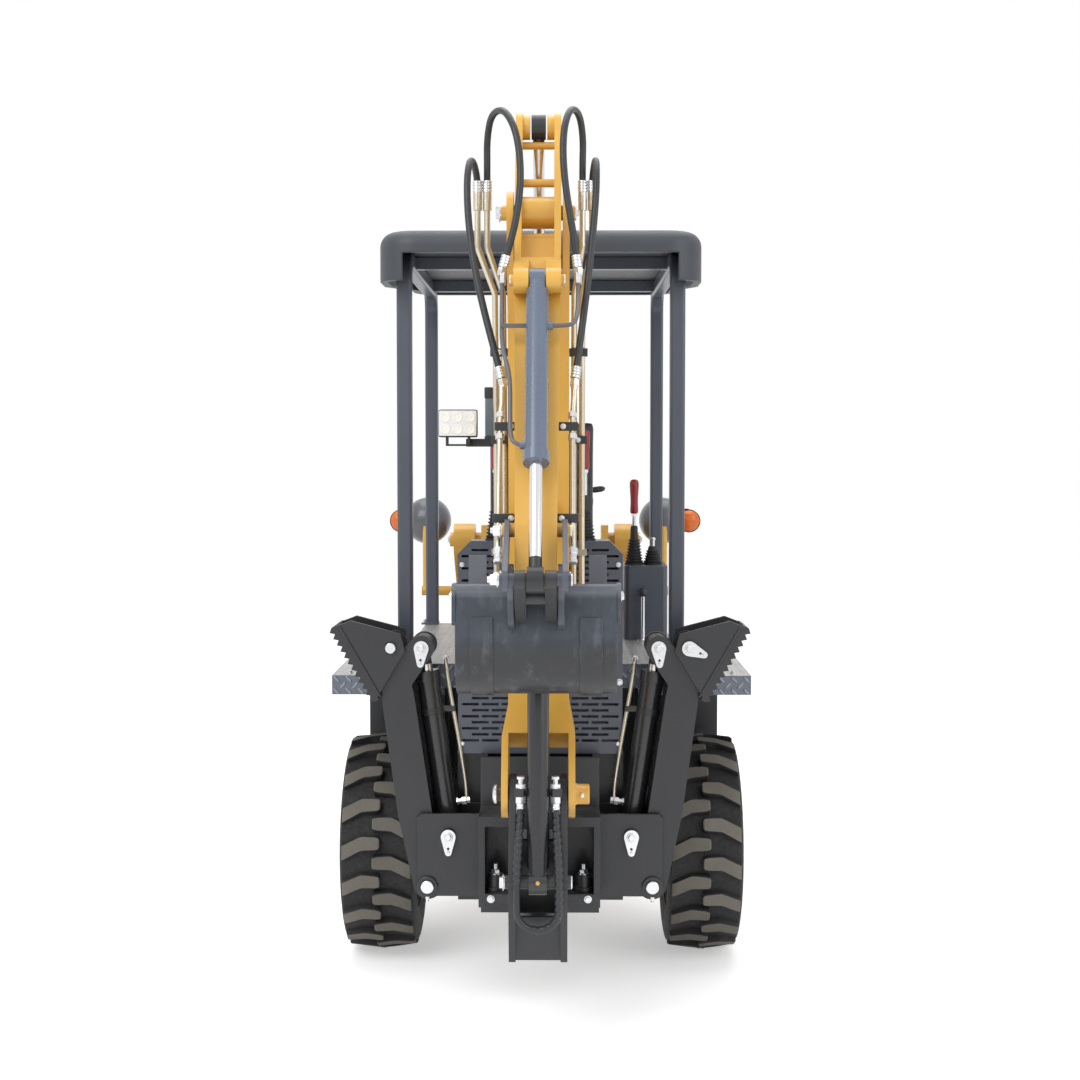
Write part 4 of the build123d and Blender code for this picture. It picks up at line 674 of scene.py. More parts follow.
TRACK_HALF, WHEELBASE, AXLE_Z = 568, 1750, 387
NUTS, NUT_CIRCLE_R = 8, 0.1
TYRE_R, LUGS = 0.387, 18
LUG_LEAN = math.tan(math.radians(6.5))
TREAD_BASE = TYRE_R - 0.030
TYRE_HALF = [(0.096, 0.2108), (0.106, 0.2180), (0.1135, 0.2290), (0.1165, 0.2370), (0.1200, 0.2385),
    (0.1235, 0.2490), (0.1290, 0.2720), (0.1318, 0.2960), (0.1306, 0.3180), (0.1268, 0.3400),
    (0.1240, 0.3510), (0.1185, 0.3565), (0.07, TREAD_BASE), (0.0, TREAD_BASE)]
LUG_STATIONS = [(-0.013, 0.0, 0.0150), (-0.009, 0.0, 0.0210), (0.004, 0.0, 0.0238), (0.04, 0.0, 0.0258),
    (0.052, -0.001, 0.0263), (0.064, -0.0065, 0.0267), (0.09, -0.0205, 0.0274), (0.113, -0.0328, 0.0280),
    (0.1185, -0.0357, 0.0272)]
RIM_LOOP = mm((-100, 197), (-100, 219.5), (-97.5, 221.5), (-94.5, 219.5), (-93, 209.8), (-60, 209.2),
    (-46, 201.2), (46, 201.2), (60, 209.2), (93, 209.8), (94.5, 219.5), (97.5, 221.5), (100, 219.5),
    (100, 208), (90, 198.5), (20, 196.5), (9, 186), (9, 160), (-6, 146), (-7, 120), (-7, 58.5), (7, 58.5),
    (7, 74), (7.5, 125), (0, 140), (-6, 158), (-8, 195.5), (-90, 197))


def build_tyre(name, body, centre):
    """One tyre: the bars' tops are dusty, the rest is black rubber."""
    mesh = bmesh.new()
    profile = [(-x, radius) for x, radius in TYRE_HALF] + TYRE_HALF[-2::-1]
    lathe(mesh, centre, (1, 0, 0), profile, 72, closed=True)
    for row in SIDES:
        for lug in range(LUGS):
            middle = 2 * math.pi * (lug + (0.5 if row > 0 else 0.0)) / LUGS
            rings = []
            for index, (x, shift, wide) in enumerate(LUG_STATIONS):
                top = TYRE_R - LUG_LEAN * (x + 0.012)
                if index in (0, len(LUG_STATIONS) - 1):
                    top -= 0.003
                low = TREAD_BASE - (0.004 if index < 7 else 0.012)
                ring = []
                for offset, radius in ((-wide - 0.004, low), (-wide, top - 0.0025), (-wide + 0.0025, top),
                        (wide - 0.0025, top), (wide, top - 0.0025), (wide + 0.004, low)):
                    turn = middle + (shift + offset) / TYRE_R
                    place = Vector((row * x, radius * math.sin(turn), radius * math.cos(turn)))
                    ring.append(mesh.verts.new(centre + place))
                rings.append(ring)
            for first, second in zip(rings, rings[1:]):
                for side in range(5):
                    face = mesh.faces.new((first[side], first[side + 1], second[side + 1], second[side]))
                    face.material_index = 1 if side == 2 else 0
            mesh.faces.new(rings[0])
            mesh.faces.new(rings[-1])
    piece(name + "_looks", mesh, ["tyre", "tyre_tread"], body, [name], 28.0)


for axle, axle_ahead in (("rear", 0), ("front", WHEELBASE)):
    for side, side_name in SIDE_NAMES:
        centre = P(side * TRACK_HALF, axle_ahead, AXLE_Z)
        wheel = f"{axle}_{side_name}"
        build_tyre(wheel + "_tyre", wheel + "_wheel", centre)
        rim = bmesh.new()
        lathe(rim, centre, (side, 0, 0), RIM_LOOP, 64, closed=True)
        piece(wheel + "_rim_looks", rim, ["rim_paint"], wheel + "_wheel",
            [wheel + "_rim"], 40.0)
        nuts = bmesh.new()
        for nut in range(NUTS):
            turn = 2 * math.pi * nut / NUTS
            out = Vector((side * 0.007, NUT_CIRCLE_R * math.sin(turn), NUT_CIRCLE_R * math.cos(turn)))
            bolt(nuts, centre + out, (side, 0, 0), 0.013, 0.016)
        valve = centre + Vector((side * 0.008, 0.0, -0.172))
        lathe(nuts, valve, (side, 0, 0), mm((0, 6), (30, 5), (32, 4), (45, 4)), 12)
        lathe(nuts, centre, (side, 0, 0), mm((7.5, 62.5), (7.5, 72), (12, 74), (16, 66), (46, 64),
            (52, 58), (54, 30), (54, 0)), 40, 1)
        piece(wheel + "_wheel_nuts", nuts, ["silver_zinc", "grey_paint"], wheel + "_wheel")

# Levers: bellows, bright rods and red grips

LEVERS = [(-143, -655, 1510, 1865), (143, -655, 1510, 1865), (342, 260, 1372, 1690)]
GRIP = mm((0, 10), (2, 14), (12, 15.5), (24, 14.8), (40, 14), (60, 14.3), (85, 16), (104, 17.2),
    (116, 16.8), (124.5, 13.5), (128, 7), (128, 0))


def bellows(mesh, foot, wide, neck, folded, high, folds):
    """A rubber boot: a foot plate, folds that grow narrower, and a smooth neck."""
    profile = [(0.0, wide + 0.002), (0.005, wide + 0.002), (0.007, wide - 0.003)]
    for fold in range(folds):
        share = fold / folds
        reach = wide - (wide - neck) * 0.62 * share
        start = 0.008 + (folded - 0.008) * share
        step = (folded - 0.008) / folds
        profile += [(start + step * 0.15, reach), (start + step * 0.5, reach + 0.0006),
            (start + step * 0.62, reach - 0.005), (start + step * 0.95, reach - 0.006)]
    last = profile[-1][1]
    profile += [(folded + (high - folded) * 0.3, last - 0.001), (high - 0.006, neck + 0.0025),
        (high, neck), (high, 0.0)]
    lathe(mesh, foot, UP, profile, 32)


for number, (x, ahead, base_z, top_z) in enumerate(LEVERS, 1):
    foot = P(x, ahead, base_z)
    boot = bmesh.new()
    bellows(boot, foot, 0.033, 0.011, 0.098, 0.145, 8)
    piece(f"lever_bellows_{number}", boot, ["rubber"], "rear_frame", ["lever_boots"], 40.0)
    rod = bmesh.new()
    long = top_z - base_z
    lathe(rod, foot, UP, mm((140, 7.8), (long - 124, 7.8)), 16)
    lathe(rod, foot, UP, mm((long - 138, 0), (long - 138, 12.5), (long - 128, 12.5), (long - 128, 0)), 6)
    piece(f"lever_rod_{number}", rod, ["chrome"], "rear_frame")
    grip = bmesh.new()
    lathe(grip, P(x, ahead, top_z - 128), UP, GRIP, 28)
    piece(f"lever_grip_{number}", grip, ["red_plastic"], "rear_frame", ["lever_grips"],
        60.0)
foot = P(412, 260, 1372)
boot = bmesh.new()
bellows(boot, foot, 0.034, 0.015, 0.056, 0.068, 5)
lathe(boot, foot, UP, mm((66, 7.5), (90, 7.5), (92, 10), (98, 10), (100, 8), (100, 0)), 24, 1)
piece("lever_bellows_4", boot, ["rubber", "silver_zinc"], "rear_frame", ["lever_boots"], 40.0)

# Deck lever, column stalk and dials

stalk = bmesh.new()
lathe(stalk, P(369, 118, 1100), UP, mm((0, 22), (4, 22), (6, 7.5), (165, 6.5)), 20)
lathe(stalk, P(369, 118, 1262), UP, mm((0, 7), (3, 13), (14, 17.5), (24, 16), (30, 9), (31, 0)), 24, 1)
tube(stalk, smooth_line([P(150, 610, 1510), P(168, 610, 1560), P(172, 606, 1625), P(180, 604, 1642)]),
    0.005, 10, 1)
lathe(stalk, P(172, 604, 1640), (0.97, 0, 0.12), mm((0, 4), (4, 8), (30, 12), (56, 11.5), (68, 7),
    (71, 0)), 20, 1)
piece("deck_lever_and_stalk", stalk, ["chrome", "dark_plastic"], "rear_frame", (), 50.0)
dials = bmesh.new()
dash_out = Vector((0, -0.6, 0.8)).normalized()
for x, wide in ((-95, 0.034), (0, 0.042), (95, 0.034)):
    spot = P(x, 560, 1510) + dash_out * 0.001
    lathe(dials, spot, dash_out, [(0.0, wide + 0.005), (0.008, wide + 0.005), (0.01, wide + 0.002),
        (0.006, wide)], 32)
    lathe(dials, spot, dash_out, [(0.0, wide), (0.0055, wide), (0.006, 0.0)], 32, 1)
piece("dash_dials", dials, ["dark_plastic", "lamp_glass"], "rear_frame")

# Seat: a cushion and a back, puffed up by cloth pressure, with sewn channels

VOXEL = 0.006
PRESSURE, CLOTH_STEPS = 4.0, 20
CHANNEL_HALF, CHANNEL_DEPTH = 0.010, 0.22


def puffed(name, low, high, radius, cap, channels, replaced):
    """A pad swelled by cloth pressure, by no more than its cap, and then sewn along its channels."""
    start = bmesh.new()
    block(start, low, high, radius)
    data = bpy.data.meshes.new(name)
    start.to_mesh(data)
    start.free()
    pad = bpy.data.objects.new(name, data)
    scene.collection.objects.link(pad)
    grid = pad.modifiers.new("grid", "REMESH")
    grid.mode = "VOXEL"
    grid.voxel_size = VOXEL
    even = bpy.data.meshes.new_from_object(pad.evaluated_get(bpy.context.evaluated_depsgraph_get()))
    pad.modifiers.clear()
    pad.data = even
    before = [vert.co.copy() for vert in even.vertices]
    cloth = pad.modifiers.new("cloth", "CLOTH")
    cloth.settings.use_pressure = True
    cloth.settings.uniform_pressure_force = PRESSURE
    cloth.settings.effector_weights.gravity = 0.0
    for step in range(1, CLOTH_STEPS + 1):
        scene.frame_set(step)
    swelled = bpy.data.meshes.new_from_object(pad.evaluated_get(bpy.context.evaluated_depsgraph_get()))
    pad.modifiers.clear()
    scene.frame_set(1)
    for vert, new, old in zip(even.vertices, swelled.vertices, before):
        move = new.co - old
        vert.co = old + move * min(1.0, cap / max(move.length, 1e-9))
    thin = 2 if name == "seat_pad" else 1
    middle = ((low + high) / 2)[thin]
    for vert in even.vertices:
        for axis, places in channels.items():
            for place in places:
                away = abs(vert.co[axis] - place) / CHANNEL_HALF
                if away < 1.0:
                    vert.co[thin] += (middle - vert.co[thin]) * CHANNEL_DEPTH * (1 - away * away)
    even.materials.append(mat["seat_vinyl"])
    even.polygons.foreach_set("use_smooth", [True] * len(even.polygons))
    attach(pad, "seat")
    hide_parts(replaced)


SEAT_Y, SEAT_Z = -20, 1430
puffed("seat_pad", P(-195, SEAT_Y - 172, SEAT_Z - 22), P(195, SEAT_Y + 202, SEAT_Z + 70), 0.03, 0.010,
    {0: (-0.115, 0.115), 1: (P(0, SEAT_Y - 60, 0).y, P(0, SEAT_Y + 85, 0).y)}, "seat_cushion")
puffed("seat_back_pad", P(-187, SEAT_Y - 254, SEAT_Z + 2), P(187, SEAT_Y - 204, SEAT_Z + 470), 0.022,
    0.010, {0: (-0.11, 0.11), 2: (1.56, 1.68, 1.80)}, "seat_back")
base = bmesh.new()
block(base, P(-130, SEAT_Y - 140, 1370), P(130, SEAT_Y + 140, 1400), 0.006)
block(base, P(-190, SEAT_Y - 170, 1398), P(190, SEAT_Y + 195, 1410), 0.004)
block(base, P(-60, SEAT_Y - 255, 1394), P(60, SEAT_Y - 100, 1410), 0.004)
block(base, P(-60, SEAT_Y - 258, 1394), P(60, SEAT_Y - 250, 1620), 0.003)
piece("seat_base", base, ["black_paint"], "seat", ["seat_cushion"])

# Lamps: LED work lamp on the boom, round headlamps and amber turn lamps

LAMP_LOW, LAMP_HIGH = P(-304, -1032, 1838), P(-186, -985, 1922)
lamp = bmesh.new()
block(lamp, LAMP_LOW + Vector((0, 0.012, 0)), LAMP_HIGH, 0.008)
for fin in range(7):
    left = LAMP_LOW.x + 0.008 + fin * 0.0158
    block(lamp, Vector((left, LAMP_HIGH.y - 0.002, LAMP_LOW.z + 0.008)),
          Vector((left + 0.006, LAMP_HIGH.y + 0.014, LAMP_HIGH.z - 0.008)), 0.0015)
block(lamp, P(-222, -991, 1810), P(-90, -969, 1834), 0.002)
for x in (-278, -212):
    block(lamp, P(x - 4, -1016, 1812), P(x + 4, -992, 1846), 0.002)
block(lamp, P(-282, -1016, 1812), P(-208, -992, 1818), 0.002)
block(lamp, P(-166, -992, 1834), P(-136, -968, 1842), 0.002)
piece("work_lamp_body", lamp, ["dark_plastic"], "boom", ["work_lamp"])
glass = bmesh.new()
glass_high = Vector((LAMP_HIGH.x - 0.002, LAMP_LOW.y + 0.016, LAMP_HIGH.z - 0.003))
block(glass, LAMP_LOW + Vector((0.002, 0.0, 0.004)), glass_high, 0.006)
CELL = mm((0, 15.5), (2.2, 15), (2.6, 12.5), (1.2, 10), (1.6, 4.5), (2.6, 0))
for row in range(2):
    for cell in range(3):
        spot = LAMP_LOW + Vector((0.0215 + 0.0375 * cell, 0.001, 0.025 + 0.036 * row))
        lathe(glass, spot, REAR, CELL, 24, 1)
piece("work_lamp_glass", glass, ["lamp_glass", "lamp_cell"], "boom")
box_mesh = bmesh.new()
block(box_mesh, P(-164, -990, 1842), P(-138, -970, 1960), 0.004)
block(box_mesh, P(-166, -992, 1956), P(-140, -968, 1990), 0.004, 1)
piece("boom_junction_box", box_mesh, ["blue_grey", "dark_plastic"], "boom")

HEAD_LAMP = mm((-12, 0), (-10, 30), (4, 62), (26, 85), (55, 96.5), (86, 100), (94, 100), (96, 97))
for side, side_name in SIDE_NAMES:
    middle = P(side * 505, 1150, 1496)
    lamp = bmesh.new()
    lathe(lamp, middle, AHEAD, HEAD_LAMP, 48)
    lathe(lamp, middle, AHEAD, mm((90, 92), (90, 100), (100, 100.5), (106, 97), (108, 90), (100, 89)), 48,
        1, closed=True)
    lathe(lamp, middle, AHEAD, mm((90, 90), (100, 89.5), (106, 60), (109, 0)), 48, 2)
    piece(f"{side_name}_headlamp", lamp, ["lamp_shell", "chrome", "lamp_glass"], "front_frame",
        ["headlamps"], 40.0)
    lamp = bmesh.new()
    middle = P(side * 617, 1215, 1496)
    for face in SIDES:
        lathe(lamp, middle, (0, face, 0), mm((8, 47), (12, 46), (26, 38), (33, 24), (36, 0)), 36)
    lathe(lamp, middle, AHEAD, mm((-10, 44), (-12, 49.5), (12, 49.5), (10, 44)), 36, 1, closed=True)
    block(lamp, P(side * 605 - 12, 1206, 1536), P(side * 605 + 12, 1224, 1549), 0.003, 1)
    block(lamp, P(side * 590 - 14, 1207, 1486), P(side * 590 + 14, 1223, 1506), 0.003, 1)
    piece(f"{side_name}_turn_lamp", lamp, ["amber_lens", "dark_plastic"], "front_frame",
        ["turn_lamps"], 40.0)

# Pins: drop-shaped lock plates, bolted and plain ends, bosses and grease nipples


def lock_plate(mesh, centre, out, down):
    """A drop-shaped plate on a pin's end, with the bolt that holds it and a slot at its tip."""
    out, down = Vector(out).normalized(), Vector(down).normalized()
    across = down.cross(out)
    big, small, reach = 0.0235, 0.0105, 0.050
    tilt = math.asin((big - small) / reach)
    outline = []
    for step in range(9):
        turn = tilt + (math.pi - 2 * tilt) * step / 8
        outline.append((small * math.cos(turn), reach + small * math.sin(turn)))
    for step in range(19):
        turn = math.pi - tilt + (math.pi + 2 * tilt) * step / 18
        outline.append((big * math.cos(turn), big * math.sin(turn)))
    prism(mesh, outline, centre, across, down, 0.006)
    top = centre + out * 0.006
    bolt(mesh, top, out, 0.011, 0.008)
    bolt(mesh, top + down * (reach - 0.001), out, 0.0045, 0.003, False)
    lathe(mesh, top + down * (reach - 0.013), out, mm((-1, 4.2), (0.6, 4.2), (0.6, 0)), 12, 1)


def pin_end(mesh, centre, out, radius, high=0.004):
    """A pin's bright chamfered end."""
    lathe(mesh, centre, out, [(-0.001, radius), (high - 0.0015, radius), (high, radius - 0.002),
        (high, 0.0)], 28)


def nipple(mesh, centre, out, material=0):
    """A grease nipple."""
    lathe(mesh, centre, out, mm((-2, 6.5), (4, 6.5), (4, 4), (10, 4), (12, 5.5), (15, 5), (16.5, 2),
        (16.5, 0)), 12, material)


for side, side_name in SIDE_NAMES:
    lock = bmesh.new()
    lock_plate(lock, P(side * 375, -800.5, 1174), REAR, (0.06 * side, 0, -1))
    if side > 0:
        lock_plate(lock, P(side * 470, -825, 1177), REAR, (1.0, 0, -0.42))
    else:
        pin_end(lock, P(side * 470, -825, 1177), REAR, 0.0165)
    piece(f"{side_name}_leg_locks", lock, ["silver_zinc", "black_paint"], f"{side_name}_leg")
    lock = bmesh.new()
    lock_plate(lock, P(side * 289, -833, 580), REAR, DOWN)
    pin_end(lock, P(side * 356, -833, 419), REAR, 0.0205)
    lathe(lock, P(side * 356, -821, 419), REAR, mm((0, 22.5), (0, 33), (8, 33), (9.5, 31), (9.5, 22.5)),
        32, 1, closed=True)
    nipple(lock, P(side * 356, -826, 386), DOWN)
    piece(f"{side_name}_cheek_locks", lock, ["silver_zinc", "black_paint"], "rear_frame")

# Body, ahead of the rear axle, height, end of the pin on each side, pin radius, bolted on the left
PIN_ENDS = [
    ("swing_post", -1330, 560, 95, 0.0195, True),
    ("boom", -1230, 2480, 106, 0.0215, True),
    ("stick", -1438, 2268, 74, 0.0165, False),
    ("stick", -1706, 1588, 90, 0.0165, True),
    ("rocker_link", -1895, 1473, 91, 0.0165, True),
    ("hoe_bucket", -1755, 1468, 88, 0.0165, True),
    ("front_frame", 1130, 1420, 401, 0.0295, False),
    ("front_frame", 1100, 430, 369, 0.0215, False),
    ("loader_bucket", 2240, 200, 419, 0.0255, False),
]
for number, (body, ahead, z, reach, radius, bolted) in enumerate(PIN_ENDS, 1):
    ends = bmesh.new()
    for side in SIDES:
        spot = P(side * reach, ahead, z)
        pin_end(ends, spot, (side, 0, 0), radius)
        if bolted and side < 0:
            long = radius < 0.018
            bolt(ends, spot + Vector((-0.004, 0, 0)), (-1, 0, 0), radius * 0.92, 0.018 if long else 0.010)
            if long:
                lathe(ends, spot + Vector((-0.024, 0, 0)), (-1, 0, 0), mm((0, 8.5), (6, 8.5), (7, 0)), 16)
        elif radius > 0.02:
            bolt(ends, spot + Vector((side * 0.004, 0, 0)), (side, 0, 0), radius * 0.4, 0.006)
    piece(f"pin_ends_{number}", ends, ["silver_zinc"], body)
ends = bmesh.new()
lathe(ends, P(-122, -1200, 790), (-1, 0, 0), mm((-1, 21.5), (1, 29), (6, 29), (11, 22), (13, 12),
    (13.5, 0)), 32)
piece("boom_foot_pin_head", ends, ["silver_zinc"], "swing_post")
boss = bmesh.new()
lathe(boss, P(107, -1200, 790), (1, 0, 0), mm((0, 34), (8, 30), (40, 30), (43, 27), (43, 0)), 36)
nipple(boss, P(128, -1229.5, 793), REAR, 1)
piece("boom_foot_boss", boss, ["yellow_paint", "silver_zinc"], "boom")
grease = bmesh.new()
nipple(grease, P(0, -1365, 566), (0, -1, 0.12))
piece("boom_ram_nipple", grease, ["brass"], "boom_barrel")
stack = bmesh.new()
for side in SIDES:
    foot = P(side * 138, -905, 430)
    lathe(stack, foot, UP, mm((0, 34), (12, 34), (14, 26), (50, 26), (52, 0)), 28, 1)
    bolt(stack, foot + Vector((0, 0, 0.052)), UP, 0.014, 0.012)
    lathe(stack, foot, UP, mm((64, 8), (82, 8), (84, 6)), 14)
    bolt(stack, P(side * 150, -961, 415), REAR, 0.009, 0.007)
piece("frame_bolts", stack, ["silver_zinc", "black_paint"], "rear_frame")

# Steel pipes on the rams and the stick, with their fittings and clamps, and the stick's top rung and web

PIPE_R, STICK_PIPE_R = 0.0062, 0.0078
LEG_PIPE = [(0.088, 0.066), (0.12, 0.071), (0.2, 0.072), (0.4, 0.066), (0.5, 0.064), (0.53, 0.064, 0.004),
    (0.545, 0.062, 0.03), (0.545, 0.062, 0.05)]


def leg_ram(side):
    """A leg ram's foot, its direction, and the direction square to it, towards the machine's middle."""
    foot = P(side * 289, -725, 580)
    along = (P(side * 375, -725, 1174) - foot).normalized()
    return foot, along, Vector((-side * along.z, 0, side * along.x))


def by_leg_ram(side, reach, off, fore=0.0):
    """A point beside a leg's ram: along it, off its line towards the middle, and forward."""
    foot, along, inward = leg_ram(side)
    return foot + along * reach + inward * off + Vector((0, fore, 0))


for side, side_name in SIDE_NAMES:
    along, inward = leg_ram(side)[1:]
    pipe = bmesh.new()
    tube(pipe, smooth_line([by_leg_ram(side, *place) for place in LEG_PIPE], 8), PIPE_R, 12)
    lathe(pipe, by_leg_ram(side, 0.088, 0.033), inward, mm((0, 14), (6, 14), (6, 9), (18, 9), (18, 13.5),
        (32, 13.5), (34, 11), (44, 11), (46, 0)), 6, 1)
    lathe(pipe, by_leg_ram(side, 0.545, 0.062, 0.045), AHEAD, mm((0, 6.2), (0, 10.5), (18, 10.5),
        (19, 0)), 6, 1)
    lathe(pipe, by_leg_ram(side, 0.38, 0.0), along, mm((0, 35.5), (0, 38.5), (18, 38.5), (18, 35.5)), 36,
        2, closed=True)
    clip, clip_half = by_leg_ram(side, 0.389, 0.054), Vector((0.020, 0.009, 0.009))
    block(pipe, clip - clip_half, clip + clip_half, 0.002, 2)
    piece(f"{side_name}_leg_pipe", pipe, ["zinc", "silver_zinc", "black_paint"],
        f"{side_name}_leg_barrel")

HOE_PIPES = [
    [(-98, -1400, 2284), (-98, -1432, 2232), (-97, -1490, 2160), (-95, -1546, 2078), (-72, -1590, 2004),
     (-70, -1640, 1915), (-69, -1684, 1838), (-56, -1698, 1814), (-29, -1699, 1813)],
    [(113, -1400, 2284), (113, -1432, 2232), (111, -1480, 2178), (104, -1508, 2146),
     (80, -1513, 2138), (29, -1513, 2138)],
]
for number, route in enumerate(HOE_PIPES, 1):
    pipe = bmesh.new()
    tube(pipe, smooth_line([P(*point) for point in route], 8), PIPE_R, 12)
    first, second = P(*route[0]), P(*route[1])
    lathe(pipe, first, first - second, mm((-30, 6.2), (-30, 10.5), (-4, 10.5), (-2, 12), (14, 12),
        (16, 8)), 6, 1)
    last = P(*route[-1])
    inward = Vector((-last.x, 0, 0)).normalized()
    lathe(pipe, last - inward * 0.014, inward, mm((0, 6.2), (0, 11), (18, 13), (20, 0)), 20, 2)
    piece(f"hoe_ram_pipe_{number}", pipe, ["pipe_grey", "silver_zinc", "blue_barrel"], "hoe_barrel")
strap = bmesh.new()
block(strap, P(-100, -1518, 2132), P(-28, -1508, 2144), 0.002)
piece("hoe_ram_pipe_strap", strap, ["pipe_grey"], "hoe_barrel")

STICK_TOP, STICK_LOW = (-1322, 2250), (-1706, 1588)
PIPE_NUT = mm((-8, 7.8), (-8, 12.5), (8, 12.5), (8, 7.8))


def beside_stick(x, share):
    """A point beside the stick, a little ahead of its line."""
    return P(x, STICK_TOP[0] + (STICK_LOW[0] - STICK_TOP[0]) * share + 26,
        STICK_TOP[1] + (STICK_LOW[1] - STICK_TOP[1]) * share - 15)


def pipe_clamp(mesh, side, inner, outer, bolt_x, centre, half):
    """A clamp block from its inner to its outer distance beside the machine's middle, with its bolt."""
    low, high = sorted((side * inner, side * outer))
    y, z = centre.y, centre.z
    block(mesh, Vector((low, y - half, z - 0.012)), Vector((high, y + half, z + 0.012)), 0.003)
    bolt(mesh, Vector((side * bolt_x, y - half, z)), REAR, 0.006, 0.005, True, 1)


for side, side_name, hose_end, x in ((-1, "left", HOSES[1][-1], -101), (1, "right", HOSES[3][-1], 97)):
    end = P(*hose_end)
    route = [end + Vector((0, -0.004, -0.012)), end + Vector((side * -0.003, -0.016, -0.05))]
    route += [beside_stick(x, share) for share in (0.52, 0.6, 0.75, 0.95, 1.06)]
    pipe = bmesh.new()
    tube(pipe, smooth_line(route, 8), STICK_PIPE_R, 14)
    tip = route[-1]
    run = (tip - route[-2]).normalized()
    lathe(pipe, tip, run, mm((-10, 8), (-10, 12), (6, 12), (8, 9.5), (22, 9.5), (24, 11.5), (34, 11.5),
        (36, 0)), 6, 1)
    for share in (-0.045, 0.045):
        lathe(pipe, beside_stick(x, 0.56 + share), run, PIPE_NUT, 6, 1)
    piece(f"stick_pipe_{side_name}", pipe, ["zinc", "silver_zinc"], "stick")
    clamp = bmesh.new()
    for share, inner in ((0.56, 57), (0.93, 53)):
        outer = abs(x) / 1000 + 0.015
        pipe_clamp(clamp, side, inner / 1000, outer, (inner + 14) / 1000, beside_stick(0, share), 0.016)
    piece(f"stick_clamps_{side_name}", clamp, ["black_paint", "silver_zinc"], "stick")
clamp = bmesh.new()
for side in SIDES:
    for z, ahead in ((1830, -1019), (2090, -1064)):
        pipe_clamp(clamp, side, 0.090, 0.145, 0.117, P(0, ahead, z), 0.018)
piece("boom_pipe_clamps", clamp, ["black_paint", "silver_zinc"], "boom")
rung = bmesh.new()
lathe(rung, P(-46, -1120, 2690), (1, 0, 0), [(0.0, 0.011), (0.092, 0.011)], 20)
piece("stick_top_rung", rung, ["yellow_paint"], "stick")
web = bmesh.new()
cross_plate(web, ((-1318, 2336), (-1309, 2332), (-1271, 2400), (-1279, 2404)), -46.5, 93)
piece("stick_web", web, ["yellow_paint"], "stick")

# Wear strips and side cutters of the hoe bucket, and weld beads on the feet

HEEL, TURN_MID, TURN_END = (-1681, 1298), (-1653, 1190), (-1565, 1138)


def circle_through(a, b, c):
    """Centre and radius of the circle through three points."""
    d = 2 * (a[0] * (b[1] - c[1]) + b[0] * (c[1] - a[1]) + c[0] * (a[1] - b[1]))
    squares = [p[0] ** 2 + p[1] ** 2 for p in (a, b, c)]
    x = (squares[0] * (b[1] - c[1]) + squares[1] * (c[1] - a[1]) + squares[2] * (a[1] - b[1])) / d
    y = (squares[0] * (c[0] - b[0]) + squares[1] * (a[0] - c[0]) + squares[2] * (b[0] - a[0])) / d
    return (x, y), math.hypot(a[0] - x, a[1] - y)


def bead_r(gone, turn):
    """A weld bead's radius, in ripples along it."""
    return 0.0042 + 0.0006 * math.sin(gone / 0.0035)


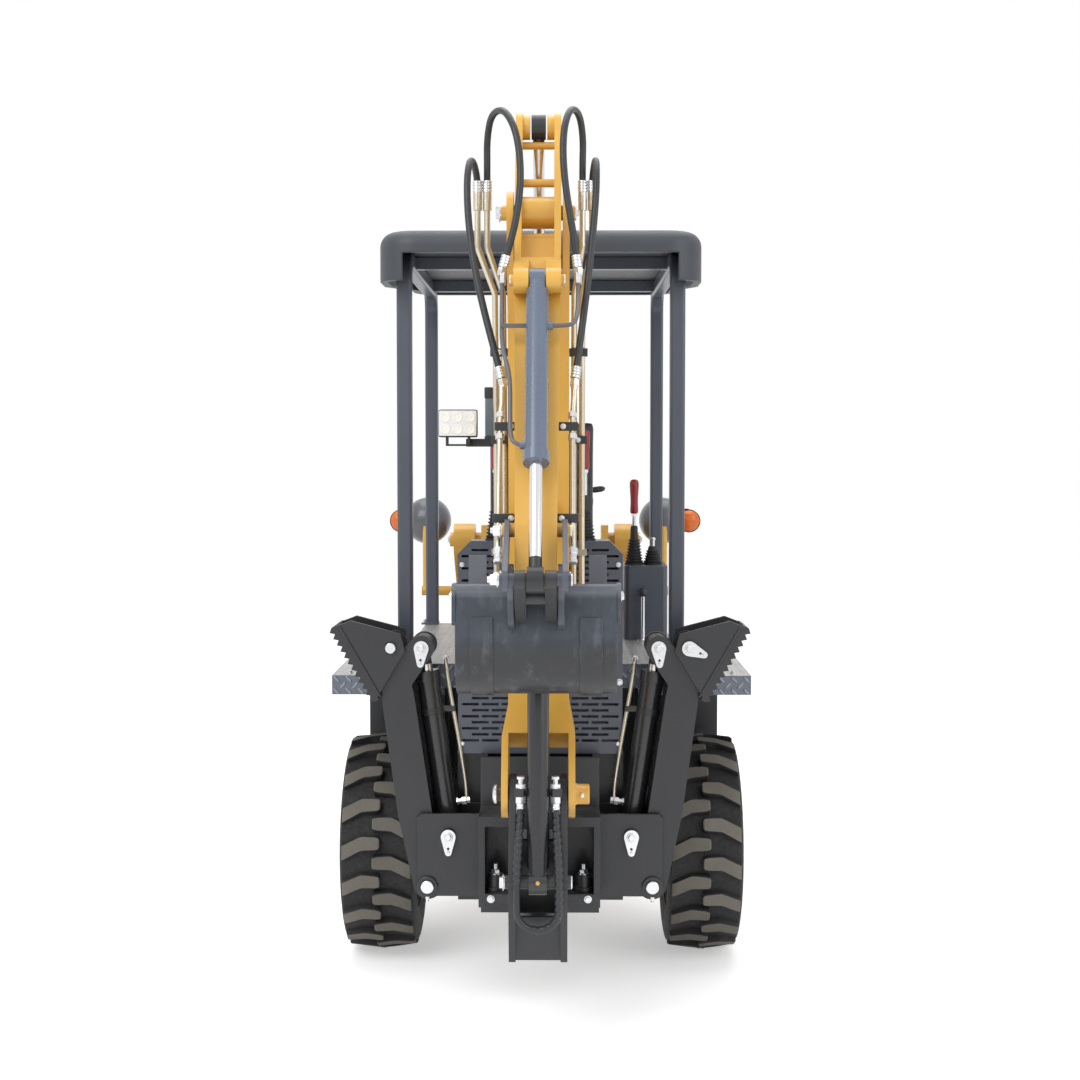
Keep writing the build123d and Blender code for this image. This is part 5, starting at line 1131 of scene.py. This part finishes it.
turn_centre, turn_r = circle_through(HEEL, TURN_MID, TURN_END)
turn_from = math.atan2(HEEL[1] - turn_centre[1], HEEL[0] - turn_centre[0]) % (2 * math.pi)
turn_to = math.atan2(TURN_END[1] - turn_centre[1], TURN_END[0] - turn_centre[0]) % (2 * math.pi)
strip_line = []
for thick in (5.0, -1.0):
    run = [(-1673 - thick, 1356), (HEEL[0] - thick, HEEL[1] + 2)]
    for step in range(1, 13):
        turn = turn_from + (turn_to - turn_from) * step / 12
        out = turn_r + thick
        run.append((turn_centre[0] + out * math.cos(turn), turn_centre[1] + out * math.sin(turn)))
    strip_line += run if thick > 0 else run[::-1]
strips = bmesh.new()
for left in (-176, 116):
    cross_plate(strips, strip_line, left, 60)
SIDE_CUTTER = ((-1676, 1346), (-1668, 1430), (-1654, 1444), (-1560, 1440), (-1548, 1426), (-1556, 1350),
    (-1574, 1336), (-1664, 1334))
for left in (-225.5, 215.5):
    cross_plate(strips, SIDE_CUTTER, left, 10)
for side in SIDES:
    for y, z in ((-1648, 1410), (-1585, 1410)):
        bolt(strips, P(side * 225, y, z), (side, 0, 0), 0.010, 0.007, True, 1)
piece("hoe_wear_strips", strips, ["hoe_paint", "silver_zinc"], "hoe_bucket")
for side, side_name in SIDE_NAMES:
    beads = bmesh.new()
    for ahead in (-817.5, -632.5):
        low, high = P(side * 502, ahead, 1022), P(side * 632, ahead, 1246)
        tube(beads, [low.lerp(high, step / 24) for step in range(25)], bead_r, 10)
    piece(f"{side_name}_foot_welds", beads, ["black_paint"], f"{side_name}_foot")

# Loader bucket's cutting edge, post feet, and bolts on the tower, fenders, deck and roof

edge = bmesh.new()
block(edge, P(-701, 2770, 54), P(701, 2884, 61), 0.002)
for number in range(9):
    bolt(edge, P(-640 + 160 * number, 2812, 61), UP, 0.012, 0.005, False)
piece("loader_cutting_edge", edge, ["bucket_paint"], "loader_bucket")
screws = bmesh.new()
for side in SIDES:
    bolt(screws, P(side * 250, -720, 1434), REAR, 0.006, 0.005)
    bolt(screws, P(side * 254, -720, 1057), REAR, 0.008, 0.008)
    bolt(screws, P(side * 250, -720, 858), REAR, 0.005, 0.004)
    for x in (60, 250, 440):
        bolt(screws, P(side * x, -590, 1062), REAR, 0.007, 0.005)
    for ahead in (-300, 60, 410):
        bolt(screws, P(side * 660, ahead, 1032), UP, 0.008, 0.006)
    for ahead in (-420, 640):
        bolt(screws, P(side * 440, ahead, 2505), UP, 0.010, 0.007)
    x = side * 450
    for ahead in (-500, 731):
        block(screws, P(x - 42, ahead - 42, 1100), P(x + 26, ahead + 42, 1108), 0.002, 1)
        for fore in SIDES:
            bolt(screws, P(x - 33, ahead + fore * 32, 1108), UP, 0.007, 0.006)
piece("body_bolts", screws, ["silver_zinc", "post_paint"], "rear_frame")
